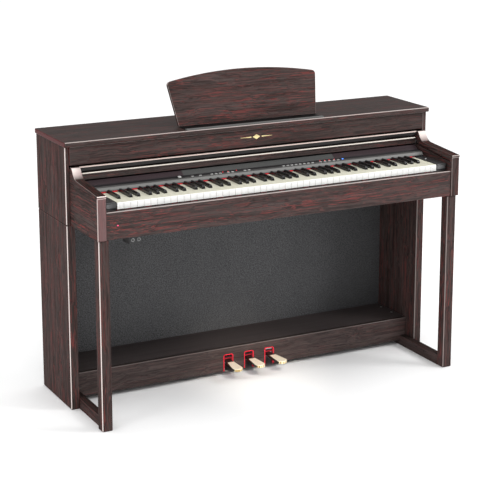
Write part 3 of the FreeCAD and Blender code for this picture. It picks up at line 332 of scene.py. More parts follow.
def painted_edge_highlight(graph, tilt, edge_axis, left_only):
    """How much each point shows a painted highlight, a pale line on rounded edges that face the lights, from
    0 to 1.

    edge_axis is an axis that the pale edges run along; left_only keeps the edges that look left,
    and dims them on the pieces at the player's right.
    """
    normal = graph.surface_normal()
    coords = graph.object_coords()
    edge = graph.edges(tilt=tilt)
    if edge_axis:
        across = graph.calc("ABSOLUTE", graph.part(normal, edge_axis))
        edge = graph.calc("MULTIPLY", edge, graph.step(across, 0.35, 0.20))
    upward = graph.step(graph.part(normal, "Z"), -0.30, -0.05)
    edge = graph.calc("MULTIPLY", edge, upward)
    if left_only:
        side = graph.ramp(graph.step(graph.part(coords, "X"), 0.1, -0.1), [(0.0, 0.30), (1.0, 1.0)])
        leftward = graph.step(graph.part(normal, "X"), -0.05, -0.25)
        forward = graph.step(graph.part(normal, "Y"), 0.30, 0.10)
        edge = graph.calc("MULTIPLY", graph.calc("MULTIPLY", edge, side), leftward)
        edge = graph.calc("MULTIPLY", edge, forward)
    return edge


def wood(name, grain, end_grain=None, red=0.75, edge_light=0.7, tilt=0.0, edge_axis=None,
         left_only=False, top_shade=0.48, caps=False, sheen=0.0, side_red=0.0):
    """Rosewood veneer. end_grain is the grain's axis on faces that look along Y, where it differs.

    top_shade is painted shade that darkens faces that look up; side_red stains faces that look sideways; caps
    adds the arms' painted highlights and painted light on the left arm's front end.
    """
    graph = Graph(name)
    coords = graph.object_coords()
    if tilt:
        coords = graph.turn_x(coords, tilt)

    def aligned(axis):
        node = graph.new("Mapping")
        graph.feed(node.inputs["Vector"], coords)
        node.inputs["Rotation"].default_value = GRAIN_TURN[axis]
        return node.outputs[0]

    colour, height = grain_pattern(graph, aligned(grain), red)
    normal = graph.surface_normal()
    facing = graph.calc("ABSOLUTE", graph.part(normal, "Y"))
    front = graph.step(facing, 0.6, 0.8)
    if end_grain:
        end_colour, end_height = grain_pattern(graph, aligned(end_grain), red)
        colour = graph.mix(front, colour, end_colour)
        height = graph.mix(front, height, end_height)
    if side_red:
        sideways = graph.step(graph.calc("ABSOLUTE", graph.part(normal, "X")), 0.6, 0.8)
        colour = graph.mix(graph.calc("MULTIPLY", sideways, side_red), colour, WOOD_LID_END)
    # painted shade: faces that look up are darkened
    up = graph.step(graph.part(normal, "Z"), 0.75, 0.92)
    shaded = graph.mix(1.0, colour, (top_shade, top_shade, top_shade * 0.97), "MULTIPLY")
    colour = graph.mix(up, colour, shaded)
    # painted highlight: pale lines on rounded edges that face the lights
    edge = graph.calc("MULTIPLY", painted_edge_highlight(graph, tilt, edge_axis, left_only), edge_light)
    if caps:
        colour, edge = cap_painted_light(graph, colour, edge, front)
    graph.colour(graph.mix(edge, colour, WOOD_EDGE_HIGHLIGHT))
    gloss = graph.ramp(height, [(0.3, 0.50), (0.7, 0.38)])
    graph.set("Roughness", graph.mix(edge, gloss, (0.25, 0.25, 0.25)))
    graph.set("Specular IOR Level", sheen)
    graph.set("Coat Weight", 0.06)
    graph.set("Coat Roughness", 0.2)
    graph.bump(height, 0.00025, 0.5)
    return graph.material


def cap_painted_light(graph, colour, edge, front):
    """Arms: a painted highlight on the slope under the crest that fades downwards, two painted highlight
    lines on the front, and painted light on the left arm's front end.
    """
    coords = graph.object_coords()
    normal = graph.surface_normal()
    height = graph.part(coords, "Z")
    left = graph.step(graph.part(coords, "X"), 0.1, -0.1)
    # painted light: the left arm's front end is lit brighter and redder
    painted_end_light = graph.calc("MULTIPLY", graph.calc("MULTIPLY", front, left), 0.85)
    ruddy = graph.mix(1.0, colour, (2.4, 2.2, 2.3), "MULTIPLY")
    colour = graph.mix(painted_end_light, colour, graph.mix(0.45, ruddy, (0.235, 0.125, 0.125)))
    sideways = graph.step(graph.part(normal, "Y"), -0.45, -0.20)
    edge = graph.calc("MULTIPLY", edge, graph.ramp(sideways, [(0.0, 1.0), (1.0, 0.30)]))
    # painted highlight lines at the cap joint and along the top of the front
    line = graph.between(height, CAP_SEAM - 0.0012, CAP_SEAM + 0.0010, 0.0004)
    top = graph.step(height, CAP_FRONT_TOP - 0.0042, CAP_FRONT_TOP - 0.0030)
    facing_front = graph.step(graph.part(normal, "Y"), -0.2, -0.5)
    lines = graph.calc("MULTIPLY", graph.calc("MAXIMUM", line, top), facing_front)
    near = graph.step(graph.part(coords, "Y"), -0.235, -0.245)
    dim = graph.ramp(left, [(0.0, 0.45), (1.0, 0.95)])
    lines = graph.calc("MULTIPLY", graph.calc("MULTIPLY", lines, near), dim)
    # painted highlight on the steep slope under the crest
    steep = graph.step(graph.part(normal, "Y"), -0.30, -0.52)
    steep = graph.calc("MULTIPLY", steep, graph.step(graph.part(normal, "Z"), 0.15, 0.40))
    x = graph.part(coords, "X")
    right_arm = graph.step(x, 0.1, 0.2)
    across = graph.calc("MAXIMUM", graph.step(x, -0.657, -0.688), right_arm)
    slope = graph.calc("MULTIPLY", steep, graph.step(height, 0.800, 0.838))
    slope = graph.calc("MULTIPLY", slope, graph.ramp(across, [(0.0, 0.55), (1.0, 0.95)]))
    return colour, graph.calc("MAXIMUM", graph.calc("MAXIMUM", edge, lines), slope)


def stained_board(name, colour, roughness=0.5):
    """Painted or stained fibreboard: faint long grain, dust-fine speckle and a soft sheen."""
    graph = Graph(name)
    coords = graph.object_coords()
    grain = graph.noise(graph.stretch(coords, (4.0, 90.0, 90.0)), 1.0, 4.0, 0.6)
    speck = graph.noise(coords, 900.0, 2.0)
    tone = graph.mix(0.5, grain, speck)
    light = tuple(min(1.0, c * 1.35) for c in colour)
    dark = tuple(c * 0.7 for c in colour)
    graph.colour(graph.ramp(tone, [(0.35, dark), (0.65, light)]))
    graph.set("Roughness", graph.ramp(speck, [(0.3, roughness - 0.06), (0.7, roughness + 0.08)]))
    graph.bump(tone, 0.0002, 0.35)
    return graph.material


def speckled_board(name, colour, roughness=0.7):
    """Textured foil over fibreboard: grey with a fine crushed speckle, and painted shade that darkens the
    front towards the right.
    """
    graph = Graph(name)
    coords = graph.object_coords()
    speck = graph.noise(coords, 300.0, 3.0, 0.7)
    cloud = graph.noise(coords, 9.0, 3.0)
    light = tuple(c * 1.8 for c in colour)
    dark = tuple(c * 0.4 for c in colour)
    tone = graph.ramp(speck, [(0.38, dark), (0.62, light)])
    tone = graph.mix(1.0, tone, graph.ramp(cloud, [(0.3, 0.90), (0.7, 1.0)]), "MULTIPLY")
    # painted shade: the front darkens by up to 40 % towards the right
    forward = graph.step(graph.part(graph.surface_normal(), "Y"), -0.4, -0.7)
    rightward = graph.step(graph.part(coords, "X"), 0.15, 0.62)
    knee_painted_shade = graph.ramp(graph.calc("MULTIPLY", forward, rightward), [(0.0, 1.0), (1.0, 0.60)])
    graph.colour(graph.mix(1.0, tone, knee_painted_shade, "MULTIPLY"))
    graph.set("Roughness", graph.ramp(speck, [(0.3, roughness - 0.06), (0.7, roughness + 0.08)]))
    graph.set("Specular IOR Level", 0.2)
    graph.bump(speck, 0.0003, 0.5)
    return graph.material


# ================================================================ other materials
def moulded(name, colour, roughness=0.35, specular=0.5):
    """Moulded plastic: fine spark texture and a slight tone drift."""
    graph = Graph(name)
    coords = graph.object_coords()
    drift = graph.noise(coords, 12.0, 3.0)
    grain = graph.noise(coords, 1400.0, 2.0)
    light = tuple(min(1.0, c * 1.15) for c in colour)
    dark = tuple(c * 0.88 for c in colour)
    graph.colour(graph.ramp(drift, [(0.3, dark), (0.7, light)]))
    graph.set("Roughness", graph.ramp(grain, [(0.3, roughness - 0.05), (0.7, roughness + 0.07)]))
    graph.set("Specular IOR Level", specular)
    graph.bump(grain, 0.00008, 0.5)
    return graph.material


def metal(name, colour, roughness, brush=(40.0, 900.0, 900.0)):
    """Metal with fine brush marks along X and slight tone drift."""
    graph = Graph(name)
    coords = graph.object_coords()
    marks = graph.noise(graph.stretch(coords, brush), 1.0, 3.0, 0.6)
    drift = graph.noise(coords, 25.0, 3.0)
    light = tuple(min(1.0, c * 1.08) for c in colour)
    dark = tuple(c * 0.86 for c in colour)
    graph.colour(graph.ramp(drift, [(0.3, dark), (0.7, light)]))
    graph.set("Metallic", 1.0)
    graph.set("Roughness", graph.ramp(marks, [(0.3, roughness * 0.75), (0.7, roughness * 1.35)]))
    graph.bump(marks, 0.00003, 0.4)
    return graph.material


def pedal_metal():
    """Champagne-gold foot plate with a painted highlight on its rim and painted reflections on its tip; its
    sides, underside and the arm behind it are painted black as shade.
    """
    graph = Graph("pedal_brass")
    coords = graph.object_coords()
    normal = graph.surface_normal()
    marks = graph.noise(graph.stretch(coords, (700.0, 60.0, 700.0)), 1.0, 3.0, 0.6)
    drift = graph.noise(coords, 40.0, 3.0)
    plate = graph.ramp(drift, [(0.3, (0.96, 0.82, 0.63)), (0.7, (1.0, 0.89, 0.71))])
    # painted highlight on the plate's rounded rim
    plate = graph.mix(graph.edges(0.90, 0.985), plate, (1.0, 0.93, 0.74))
    # painted reflections: light and dark gold streaks on the tip
    painted_tip_reflections = graph.noise(graph.stretch(coords, (330.0, 20.0, 20.0)), 1.0, 1.0)
    tip = graph.ramp(painted_tip_reflections, [(0.42, (0.42, 0.27, 0.08)), (0.58, (0.98, 0.84, 0.52))])
    forward = graph.step(graph.part(normal, "Y"), -0.35, -0.60)
    low = graph.step(graph.part(normal, "Z"), 0.45, 0.20)
    colour = graph.mix(graph.calc("MULTIPLY", forward, low), plate, tip)
    # painted shade: sides, underside and the arm behind the plate are black
    sideways = graph.step(graph.calc("ABSOLUTE", graph.part(normal, "X")), 0.72, 0.90)
    arm = graph.step(graph.part(coords, "Y"), PEDAL_ARM_Y - 0.0006, PEDAL_ARM_Y + 0.0006)
    under = graph.step(graph.part(normal, "Z"), -0.3, -0.6)
    dark = graph.calc("MAXIMUM", graph.calc("MAXIMUM", sideways, arm), under)
    lacquer = graph.ramp(drift, [(0.3, (0.010, 0.009, 0.008)), (0.7, (0.018, 0.015, 0.013))])
    graph.colour(graph.mix(dark, colour, lacquer))
    graph.set("Metallic", 0.12)
    graph.set("Roughness", graph.ramp(marks, [(0.3, 0.26), (0.7, 0.42)]))
    graph.bump(marks, 0.00003, 0.4)
    return graph.material


def felt_graph(name, colour):
    """Pressed wool felt: short fuzz, mottled tone and a soft sheen."""
    graph = Graph(name)
    coords = graph.object_coords()
    fuzz = graph.noise(coords, 1500.0, 4.0, 0.7)
    mottle = graph.noise(coords, 220.0, 3.0)
    light = tuple(min(1.0, c * 1.2) for c in colour)
    dark = tuple(c * 0.6 for c in colour)
    graph.colour(graph.ramp(graph.mix(0.5, fuzz, mottle), [(0.3, dark), (0.7, light)]))
    graph.set("Roughness", graph.ramp(fuzz, [(0.3, 0.85), (0.7, 1.0)]))
    graph.set("Sheen Weight", 0.15)
    graph.set("Sheen Roughness", 0.5)
    graph.bump(fuzz, 0.0006, 0.8)
    return graph


def key_felt():
    """Red felt behind the keys: bright in the gaps without a black key, with painted shade from the black
    keys elsewhere.
    """
    graph = felt_graph("key_felt_red", (0.98, 0.020, 0.035))
    x = graph.part(graph.object_coords(), "X")
    from_left = graph.calc("ADD", x, -KEYS_LEFT)
    octave = graph.calc("FRACT", graph.calc("DIVIDE", from_left, OCTAVE_KEYS * KEY_PITCH))
    from_middle = graph.calc("ABSOLUTE", graph.calc("SUBTRACT", octave, 0.5))
    off = graph.calc("ABSOLUTE", graph.calc("SUBTRACT", from_middle, GAP_FROM_MIDDLE))
    open_gap = graph.calc("MAXIMUM", graph.step(off, 0.090, 0.055), graph.step(x, -0.590, -0.597))
    # painted shade: the felt is darkened except in the gaps without a black key
    graph.shade_colour(graph.ramp(open_gap, [(0.0, (0.16, 0.12, 0.14)), (1.0, (1.0, 1.0, 1.0))]))
    return graph.material


def slot_felt():
    """Red felt of the pedal slots; the cross bar inside the slot carries painted shade, dark red below and
    black along its top.
    """
    graph = felt_graph("red_felt", (0.98, 0.012, 0.040))
    coords = graph.object_coords()
    # painted shade inside the slot: darker red on the cross bar, black along its top
    inside = graph.step(graph.part(coords, "Y"), 0.0440, 0.0448)
    high = graph.step(graph.part(coords, "Z"), 0.0655, 0.0675)
    bar = graph.ramp(high, [(0.0, (0.42, 0.5, 0.5)), (1.0, (0.02, 0.2, 0.2))])
    graph.shade_colour(graph.mix(inside, (1.0, 1.0, 1.0), bar))
    return graph.material


def white_key_plastic():
    """Key tops in a cream tone, painted darker than the fronts as shade; sides painted darker as shade in the
    gaps between keys; a hair of grain.
    """
    graph = Graph("white_key_plastic")
    coords = graph.object_coords()
    grain = graph.noise(graph.stretch(coords, (900.0, 40.0, 900.0)), 1.0, 3.0)
    drift = graph.noise(coords, 14.0, 2.0)
    top = graph.ramp(drift, [(0.3, (0.60, 0.585, 0.47)), (0.7, (0.67, 0.655, 0.545))])
    front = graph.ramp(drift, [(0.3, (0.95, 0.95, 0.93)), (0.7, (0.98, 0.98, 0.96))])
    side = graph.ramp(grain, [(0.3, (0.68, 0.66, 0.58)), (0.7, (0.76, 0.74, 0.66))])
    # painted shade: tops darker than the fronts, and sides darker in the gaps between keys
    normal = graph.surface_normal()
    forward = graph.step(graph.calc("MULTIPLY", graph.part(normal, "Y"), -1.0), 0.4, 0.7)
    sideways = graph.step(graph.calc("ABSOLUTE", graph.part(normal, "X")), 0.5, 0.8)
    graph.colour(graph.mix(sideways, graph.mix(forward, top, front), side))
    graph.set("Roughness", graph.ramp(grain, [(0.3, 0.28), (0.7, 0.42)]))
    graph.set("Coat Weight", 0.15)
    graph.set("Coat Roughness", 0.12)
    graph.bump(grain, 0.00004, 0.4)
    return graph.material


def cheek_plastic():
    """Key blocks: black gloss on top; on the front a painted highlight, grey at each block's left end and
    fading darker to the right.
    """
    graph = Graph("cheek_black")
    coords = graph.object_coords()
    normal = graph.surface_normal()
    grain = graph.noise(coords, 1400.0, 2.0)
    x = graph.part(coords, "X")
    left_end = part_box("cheek_blocks")[0][0]
    right_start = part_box("cheek_blocks")[1][0] - 0.037
    left_block = graph.step(x, left_end + 0.034, left_end)
    right_block = graph.step(x, right_start + 0.034, right_start)
    across = graph.mix(graph.step(x, -0.1, 0.1), left_block, right_block)
    # painted highlight: the black front is lit grey at the left end of each block
    front = graph.ramp(across, [(0.0, (0.040, 0.040, 0.042)), (1.0, (0.150, 0.150, 0.152))])
    low = graph.step(graph.part(coords, "Z"), 0.7585, 0.7555)
    forward = graph.calc("MULTIPLY", graph.step(graph.part(normal, "Y"), -0.4, -0.7), low)
    black = graph.ramp(grain, [(0.3, (0.022, 0.022, 0.023)), (0.7, (0.030, 0.030, 0.031))])
    graph.colour(graph.mix(forward, black, front))
    graph.set("Roughness", graph.ramp(grain, [(0.3, 0.26), (0.7, 0.38)]))
    graph.bump(grain, 0.00008, 0.5)
    return graph.material


def black_key_plastic():
    """Deep black with a fine lengthwise grain that still shines."""
    graph = Graph("black_key_plastic")
    coords = graph.object_coords()
    grain = graph.noise(graph.stretch(coords, (1200.0, 30.0, 1200.0)), 1.0, 3.0)
    graph.colour(graph.ramp(grain, [(0.3, (0.006, 0.006, 0.006)), (0.7, (0.014, 0.013, 0.014))]))
    graph.set("Roughness", graph.ramp(grain, [(0.3, 0.16), (0.7, 0.30)]))
    graph.set("Specular IOR Level", 0.25)
    graph.set("Coat Weight", 0.25)
    graph.set("Coat Roughness", 0.08)
    graph.bump(grain, 0.00004, 0.4)
    return graph.material


def panel_plastic():
    """Control panel: grey satin lip with painted shade towards its lower edge, black button band, dark glossy
    slope with a grey display window.
    """
    graph = Graph("panel_plastic")
    coords = graph.object_coords()
    x = graph.part(coords, "X")
    y = graph.part(coords, "Y")
    grain = graph.noise(coords, 1600.0, 2.0)
    drift = graph.noise(graph.stretch(coords, (3.0, 60.0, 60.0)), 1.0, 3.0)
    # painted shade: the lip darkens towards its lower edge
    rise = graph.step(y, LIP_EDGE_Y, LIP_EDGE_Y + 0.45 * (LIP_TOP_Y - LIP_EDGE_Y))
    lip = graph.mix(rise, (0.030, 0.030, 0.031), (0.165, 0.163, 0.158))
    apron = graph.ramp(drift, [(0.3, (0.055, 0.054, 0.053)), (0.7, (0.080, 0.078, 0.076))])
    lip = graph.mix(graph.step(y, LIP_TOP_Y - 0.0006, LIP_TOP_Y + 0.0010), lip, apron)
    band = graph.ramp(drift, [(0.3, (0.011, 0.011, 0.012)), (0.7, (0.019, 0.018, 0.020))])
    slope = graph.ramp(drift, [(0.3, (0.022, 0.013, 0.016)), (0.7, (0.036, 0.021, 0.025))])
    window = graph.ramp(drift, [(0.3, (0.050, 0.051, 0.050)), (0.7, (0.062, 0.063, 0.062))])
    inside = graph.between(x, -0.2950, 0.2950, 0.0006)
    slope = graph.mix(inside, slope, window)
    back = graph.step(y, BAND_REAR_Y - 0.0008, BAND_REAR_Y + 0.0006)
    behind_lip = graph.step(y, BAND_FRONT_Y - 0.0007, BAND_FRONT_Y + 0.0007)
    graph.colour(graph.mix(back, graph.mix(behind_lip, lip, band), slope))
    gloss = graph.ramp(grain, [(0.3, 0.26), (0.7, 0.36)])
    graph.set("Roughness", graph.mix(behind_lip, (0.45, 0.45, 0.45), gloss))
    graph.set("Specular IOR Level", 0.35)
    graph.bump(grain, 0.00005, 0.4)
    return graph.material


def ledge_rubber():
    """Grey ribbed rubber on the raised lip; behind it, the music rest's shadow painted black."""
    graph = Graph("ledge_rubber")
    coords = graph.object_coords()
    y = graph.part(coords, "Y")
    # painted shadow under the music rest, behind the grey rubber
    rest_painted_shadow = graph.step(y, -0.0092, -0.0085)
    grain = graph.noise(coords, 900.0, 3.0)
    rubber = graph.ramp(grain, [(0.3, (0.105, 0.105, 0.103)), (0.7, (0.140, 0.140, 0.137))])
    graph.colour(graph.mix(rest_painted_shadow, rubber, (0.004, 0.0035, 0.0035)))
    graph.set("Specular IOR Level", 0.10)
    graph.set("Roughness", graph.ramp(grain, [(0.3, 0.5), (0.7, 0.65)]))
    graph.bump(grain, 0.0002, 0.5)
    return graph.material


def lacquer_rail(name, ground, highlight_colour, grained=False):
    """Dark glossy rail with a painted highlight along its rounded top edge."""
    graph = Graph(name)
    coords = graph.object_coords()
    if grained:
        body, drift = grain_pattern(graph, coords, 0.6)
    else:
        drift = graph.noise(graph.stretch(coords, (2.0, 80.0, 80.0)), 1.0, 4.0)
        dark, light = (tuple(c * k for c in ground) for k in (0.75, 1.25))
        body = graph.ramp(drift, [(0.3, dark), (0.7, light)])
    normal = graph.surface_normal()
    across = graph.calc("ABSOLUTE", graph.part(normal, "X"))
    upward = graph.step(graph.part(normal, "Z"), 0.30, 0.45)
    upper = graph.calc("MULTIPLY", upward, graph.step(across, 0.35, 0.20))
    # painted highlight on the rounded top edge
    edge = graph.calc("MULTIPLY", graph.edges(0.86, 0.96), upper)
    graph.colour(graph.mix(edge, body, highlight_colour))
    graph.set("Roughness", graph.mix(edge, graph.ramp(drift, [(0.3, 0.24), (0.7, 0.34)]), (0.3, 0.3, 0.3)))
    graph.set("Specular IOR Level", 0.35)
    graph.bump(drift, 0.0001, 0.2)
    return graph.material


def vent_cloth():
    """Black woven cloth with a fine checked weave."""
    graph = Graph("vent_cloth")
    coords = graph.object_coords()
    weave = graph.new("TexChecker")
    graph.feed(weave.inputs["Vector"], coords)
    weave.inputs["Scale"].default_value = 900.0
    fuzz = graph.noise(coords, 1200.0, 3.0)
    tone = graph.mix(0.5, weave.outputs["Fac"], fuzz)
    graph.colour(graph.ramp(tone, [(0.25, (0.006, 0.006, 0.007)), (0.75, (0.020, 0.020, 0.021))]))
    graph.set("Roughness", graph.ramp(fuzz, [(0.3, 0.85), (0.7, 1.0)]))
    graph.set("Specular IOR Level", 0.1)
    graph.bump(tone, 0.0002, 0.5)
    return graph.material


def lamp_glass(name, colour, strength):
    """Small lit lamp: tinted lens with a soft glow and faint mottling."""
    graph = Graph(name)
    mottle = graph.noise(graph.object_coords(), 2500.0, 2.0)
    bright = tuple(min(1.0, c * 1.2 + 0.02) for c in colour)
    tint = graph.ramp(mottle, [(0.3, colour), (0.7, bright)])
    graph.colour(tint)
    graph.set("Emission Color", tint)
    graph.set("Emission Strength", strength)
    graph.set("Roughness", graph.ramp(mottle, [(0.3, 0.15), (0.7, 0.25)]))
    return graph.material


def circuit_board():
    """Green board with darker tracks; parts on it are dark."""
    graph = Graph("circuit_board")
    coords = graph.object_coords()
    tracks = graph.noise(graph.stretch(coords, (180.0, 60.0, 60.0)), 1.0, 5.0, 0.7)
    height = graph.part(coords, "Z")
    green = graph.ramp(tracks, [(0.45, (0.010, 0.085, 0.030)), (0.55, (0.025, 0.16, 0.06))])
    parts = graph.step(height, 0.6752, 0.6756)
    graph.colour(graph.mix(parts, green, (0.02, 0.02, 0.022)))
    graph.set("Roughness", graph.ramp(tracks, [(0.3, 0.3), (0.7, 0.45)]))
    graph.bump(tracks, 0.0002, 0.4)
    return graph.material


REST_TILT = math.radians(18.0)

SIDE_WOOD = wood("rosewood_upright", "Z", edge_axis="Z", edge_light=0.95, left_only=True)
FRONT_WOOD = wood("rosewood_across", "X", edge_axis="X", red=0.85, edge_light=0.42, sheen=0.08, side_red=0.88)
PEDAL_BOARD_WOOD = wood("rosewood_low", "X", red=0.22, edge_axis="X", edge_light=0.10, sheen=0.1)
ARM_WOOD = wood("rosewood_arm", "Y", end_grain="Z", left_only=True, caps=True, red=0.9, edge_light=0.5)
REST_WOOD = wood("rosewood_rest", "X", tilt=REST_TILT, red=0.75, edge_light=0.28)
FOOT_WOOD = wood("rosewood_foot", "Y", red=0.5)
# the third colour of each rail is its painted highlight
COVER_RAIL = lacquer_rail("cover_rail_lacquer", WOOD_DARK, (0.80, 0.74, 0.66), grained=True)
UPPER_RAIL = lacquer_rail("upper_rail_lacquer", (0.014, 0.012, 0.012), (0.66, 0.53, 0.48))
DARK_BOARD = stained_board("dark_board", (0.030, 0.022, 0.021), 0.55)
BOX_TOP_BOARD = stained_board("dark_board_box", (0.050, 0.039, 0.038), 0.55)
KNEE_BOARD = speckled_board("knee_board_grey", (0.100, 0.100, 0.104))
WHITE_KEY = white_key_plastic()
BLACK_KEY = black_key_plastic()
PANEL = panel_plastic()
LEDGE = ledge_rubber()
RED_FELT = slot_felt()
KEY_FELT = key_felt()
BRASS = pedal_metal()
STEEL = metal("plain_steel", (0.55, 0.55, 0.56), 0.32)
CHROME = metal("socket_chrome", (0.20, 0.20, 0.20), 0.30)
CHEEK = cheek_plastic()
BLACK_PLASTIC = moulded("black_plastic", (0.018, 0.018, 0.019), 0.38)
PAINTED_STEEL = moulded("painted_steel", (0.022, 0.022, 0.023), 0.42, specular=0.08)
BUTTON = moulded("button_grey", (0.42, 0.42, 0.41), 0.35)
SLIDER = moulded("slider_silver", (0.58, 0.58, 0.57), 0.25)
SILVER_BUTTON = metal("power_button_silver", (0.75, 0.75, 0.76), 0.22)
CIRCUIT = circuit_board()

NODE_LOOKS = {
    "top_board": FRONT_WOOD, "side_panels": SIDE_WOOD, "front_panel": FRONT_WOOD, "upper_rail": UPPER_RAIL,
    "rear_cover": DARK_BOARD, "key_bed": DARK_BOARD, "keyslip": FRONT_WOOD, "left_arm": ARM_WOOD,
    "right_arm": ARM_WOOD, "arm_caps": ARM_WOOD, "cheek_blocks": CHEEK, "control_panel": PANEL,
    "key_felts": KEY_FELT, "key_frame": PAINTED_STEEL, "music_ledge": LEDGE, "rest_hinges": STEEL,
    "speakers": BLACK_PLASTIC, "speaker_grilles": BLACK_PLASTIC, "main_board": CIRCUIT, "power_supply": STEEL,
    "ac_inlet": BLACK_PLASTIC, "jack_box": BLACK_PLASTIC, "jack_sockets": CHROME, "stand_panels": SIDE_WOOD,
    "front_legs": SIDE_WOOD, "foot_rails": FOOT_WOOD, "knee_board": KNEE_BOARD,
    "pedal_board": PEDAL_BOARD_WOOD, "pedal_box_top": BOX_TOP_BOARD, "slot_felts": RED_FELT,
    "pedal_frame": PAINTED_STEEL, "pedal_springs": PAINTED_STEEL,
    "screws": STEEL, "key_cover": DARK_BOARD, "cover_rail": COVER_RAIL, "cover_slides": STEEL,
    "music_rest": REST_WOOD, "rest_leaves": STEEL, "rest_props": STEEL, "left_pedal": BRASS,
    "middle_pedal": BRASS, "right_pedal": BRASS, "power_button": SILVER_BUTTON, "volume_slider": SLIDER,
    "left_buttons": BUTTON, "right_buttons": BUTTON,
}


def dress_nodes():
    for name, node in nodes.items():
        look = NODE_LOOKS.get(name)
        if look is None:
            look = WHITE_KEY if "white" in name else BLACK_KEY
        node.data.materials.clear()
        node.data.materials.append(look)


# ================================================================ added pieces
def add_piece(name, build, material, body="cabinet"):
    """Make a mesh piece with a bmesh function, give it its material and let it ride a body."""
    mesh = bpy.data.meshes.new(name)
    bm = bmesh.new()
    build(bm)
    bm.to_mesh(mesh)
    bm.free()
    mesh.materials.append(material)
    for polygon in mesh.polygons:
        polygon.use_smooth = True
    mesh.set_sharp_from_angle(angle=math.radians(35))
    piece = bpy.data.objects.new(name, mesh)
    bpy.context.scene.collection.objects.link(piece)
    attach(piece, body)
    return piece


def add_dome(bm, centre, radius, height, axis="Z", rings=5, sides=20):
    """Low dome that stands on a plane and bulges along +Z or -Y."""
    def place(out, angle, up):
        flat = (out * math.cos(angle), out * math.sin(angle))
        if axis == "Z":
            return Vector(centre) + Vector((flat[0], flat[1], up))
        return Vector(centre) + Vector((flat[0], -up, flat[1]))

    loops = []
    for ring in range(rings):
        bend = ring / rings * math.pi / 2
        out = radius * math.cos(bend)
        up = height * math.sin(bend)
        loops.append([bm.verts.new(place(out, side * 2 * math.pi / sides, up)) for side in range(sides)])
    tip = bm.verts.new(place(0, 0, height))
    for lower, upper in zip(loops, loops[1:]):
        for side in range(sides):
            after = (side + 1) % sides
            bm.faces.new((lower[side], lower[after], upper[after], upper[side]))
    for side in range(sides):
        bm.faces.new((loops[-1][side], loops[-1][(side + 1) % sides], tip))
    bm.faces.new(list(reversed(loops[0])))
    bmesh.ops.recalc_face_normals(bm, faces=bm.faces[:])


def add_tapered_line(bm, x0, x1, y, z, half0, half1, thick):
    """Flat raised bar on a wall that faces -Y, from half height half0 at x0 to half1 at x1."""
    outline = [(x0, z - half0), (x1, z - half1), (x1, z + half1), (x0, z + half0)]
    if x1 < x0:
        outline.reverse()
    inset = 0.25 * MM
    base = [bm.verts.new((x, y, height)) for x, height in outline]
    middle = (x0 + x1) / 2
    face = []
    for x, height in outline:
        side = inset if x > middle else -inset
        lift = min(inset, half1 / 2) if height > z else -min(inset, half1 / 2)
        face.append(bm.verts.new((x - side, y - thick, height - lift)))
    bm.faces.new(face)
    for i in range(4):
        j = (i + 1) % 4
        bm.faces.new((base[i], base[j], face[j], face[i]))
    bm.faces.new(list(reversed(base)))
    bmesh.ops.recalc_face_normals(bm, faces=bm.faces[:])


def add_ornament():
    """Gilded lozenge between two tapering lines, in the middle of the front panel."""
    gold = metal("ornament_gold", (1.0, 0.80, 0.42), 0.28)
    y, z = -20.0 * MM, 881.0 * MM

    def build(bm):
        def lozenge(half_width, half_height, lift):
            corners = ((-half_width, 0), (0, -half_height), (half_width, 0), (0, half_height))
            return [bm.verts.new((x * MM, y - lift * MM, z + h * MM)) for x, h in corners]

        rim = lozenge(15, 9, 0)
        step = lozenge(14.2, 8.5, 0.5)
        tip = bm.verts.new((0, y - 1.5 * MM, z))
        for i in range(4):
            j = (i + 1) % 4
            bm.faces.new((rim[i], rim[j], step[j], step[i]))
            bm.faces.new((step[i], step[j], tip))
        bm.faces.new(list(reversed(rim)))
        for side in (-1, 1):
            add_tapered_line(bm, side * 20 * MM, side * 62 * MM, y, z, 2.2 * MM, 0.6 * MM, 0.7 * MM)

    add_piece("panel_ornament", build, gold)


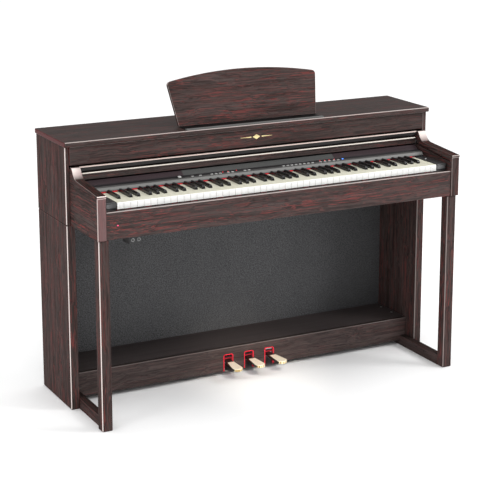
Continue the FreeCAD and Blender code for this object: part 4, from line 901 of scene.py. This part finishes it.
def add_vent_cloth():
    """Black acoustic cloth behind the vent slots of the rear cover, with a flat hem and shallow pillows."""
    cloth = vent_cloth()
    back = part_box("rear_cover")[0][1]
    low_x, high_x, low_z, high_z = 0.168, 0.406, 0.690, 0.770

    def build(bm):
        columns, rows = 35, 12
        grid = []
        for row in range(rows + 1):
            line = []
            for column in range(columns + 1):
                u, v = column / columns, row / rows
                x, z = low_x + (high_x - low_x) * u, low_z + (high_z - low_z) * v
                hem = min(1.0, 8 * min(u, 1 - u), 5 * min(v, 1 - v))
                pillow = math.sin(math.pi * u * 7) ** 2 * math.sin(math.pi * v) * 0.0014
                line.append(bm.verts.new((x, back - 0.0012 - hem * (0.0010 + pillow), z)))
            grid.append(line)
        for low, high in zip(grid, grid[1:]):
            for i in range(columns):
                bm.faces.new((low[i], low[i + 1], high[i + 1], high[i]))
        faces = bm.faces[:]
        bmesh.ops.recalc_face_normals(bm, faces=faces)
        bmesh.ops.solidify(bm, geom=faces, thickness=0.0008)

    add_piece("vent_cloth", build, cloth)


def add_lamps():
    red = lamp_glass("lamp_red", (0.80, 0.03, 0.04), 0.9)
    blue = lamp_glass("lamp_blue", (0.05, 0.20, 0.95), 2.0)
    pink = lamp_glass("lamp_power", (0.85, 0.05, 0.16), 1.2)
    buttons_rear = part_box("left_buttons")[1][1]
    lamp_y = buttons_rear + 6.5 * MM
    blue_y = buttons_rear + 2.5 * MM

    def band_height(y):
        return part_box("control_panel")[0][2] + 13.7 * MM + (y - LIP_TOP_Y) * BAND_SLOPE

    def red_lamps(bm):
        for x in (-152, -132, -100, 230, 250, 268, 288):
            add_dome(bm, (x * MM, lamp_y, band_height(lamp_y)), 2.0 * MM, 1.2 * MM)

    def blue_lamp(bm):
        add_dome(bm, (321 * MM, blue_y, band_height(blue_y)), 3.2 * MM, 2.2 * MM)

    def power_lamp(bm):
        add_dome(bm, (-619 * MM, -251.4 * MM, 691 * MM), 2.0 * MM, 1.2 * MM, axis="Y")

    add_piece("panel_lamps_red", red_lamps, red)
    add_piece("panel_lamp_blue", blue_lamp, blue)
    add_piece("power_lamp", power_lamp, pink)


dress_nodes()
add_ornament()
add_lamps()
add_vent_cloth()
make_world()
make_lights()
make_floor()
make_camera()

bpy.context.scene.view_settings.view_transform = "Standard"
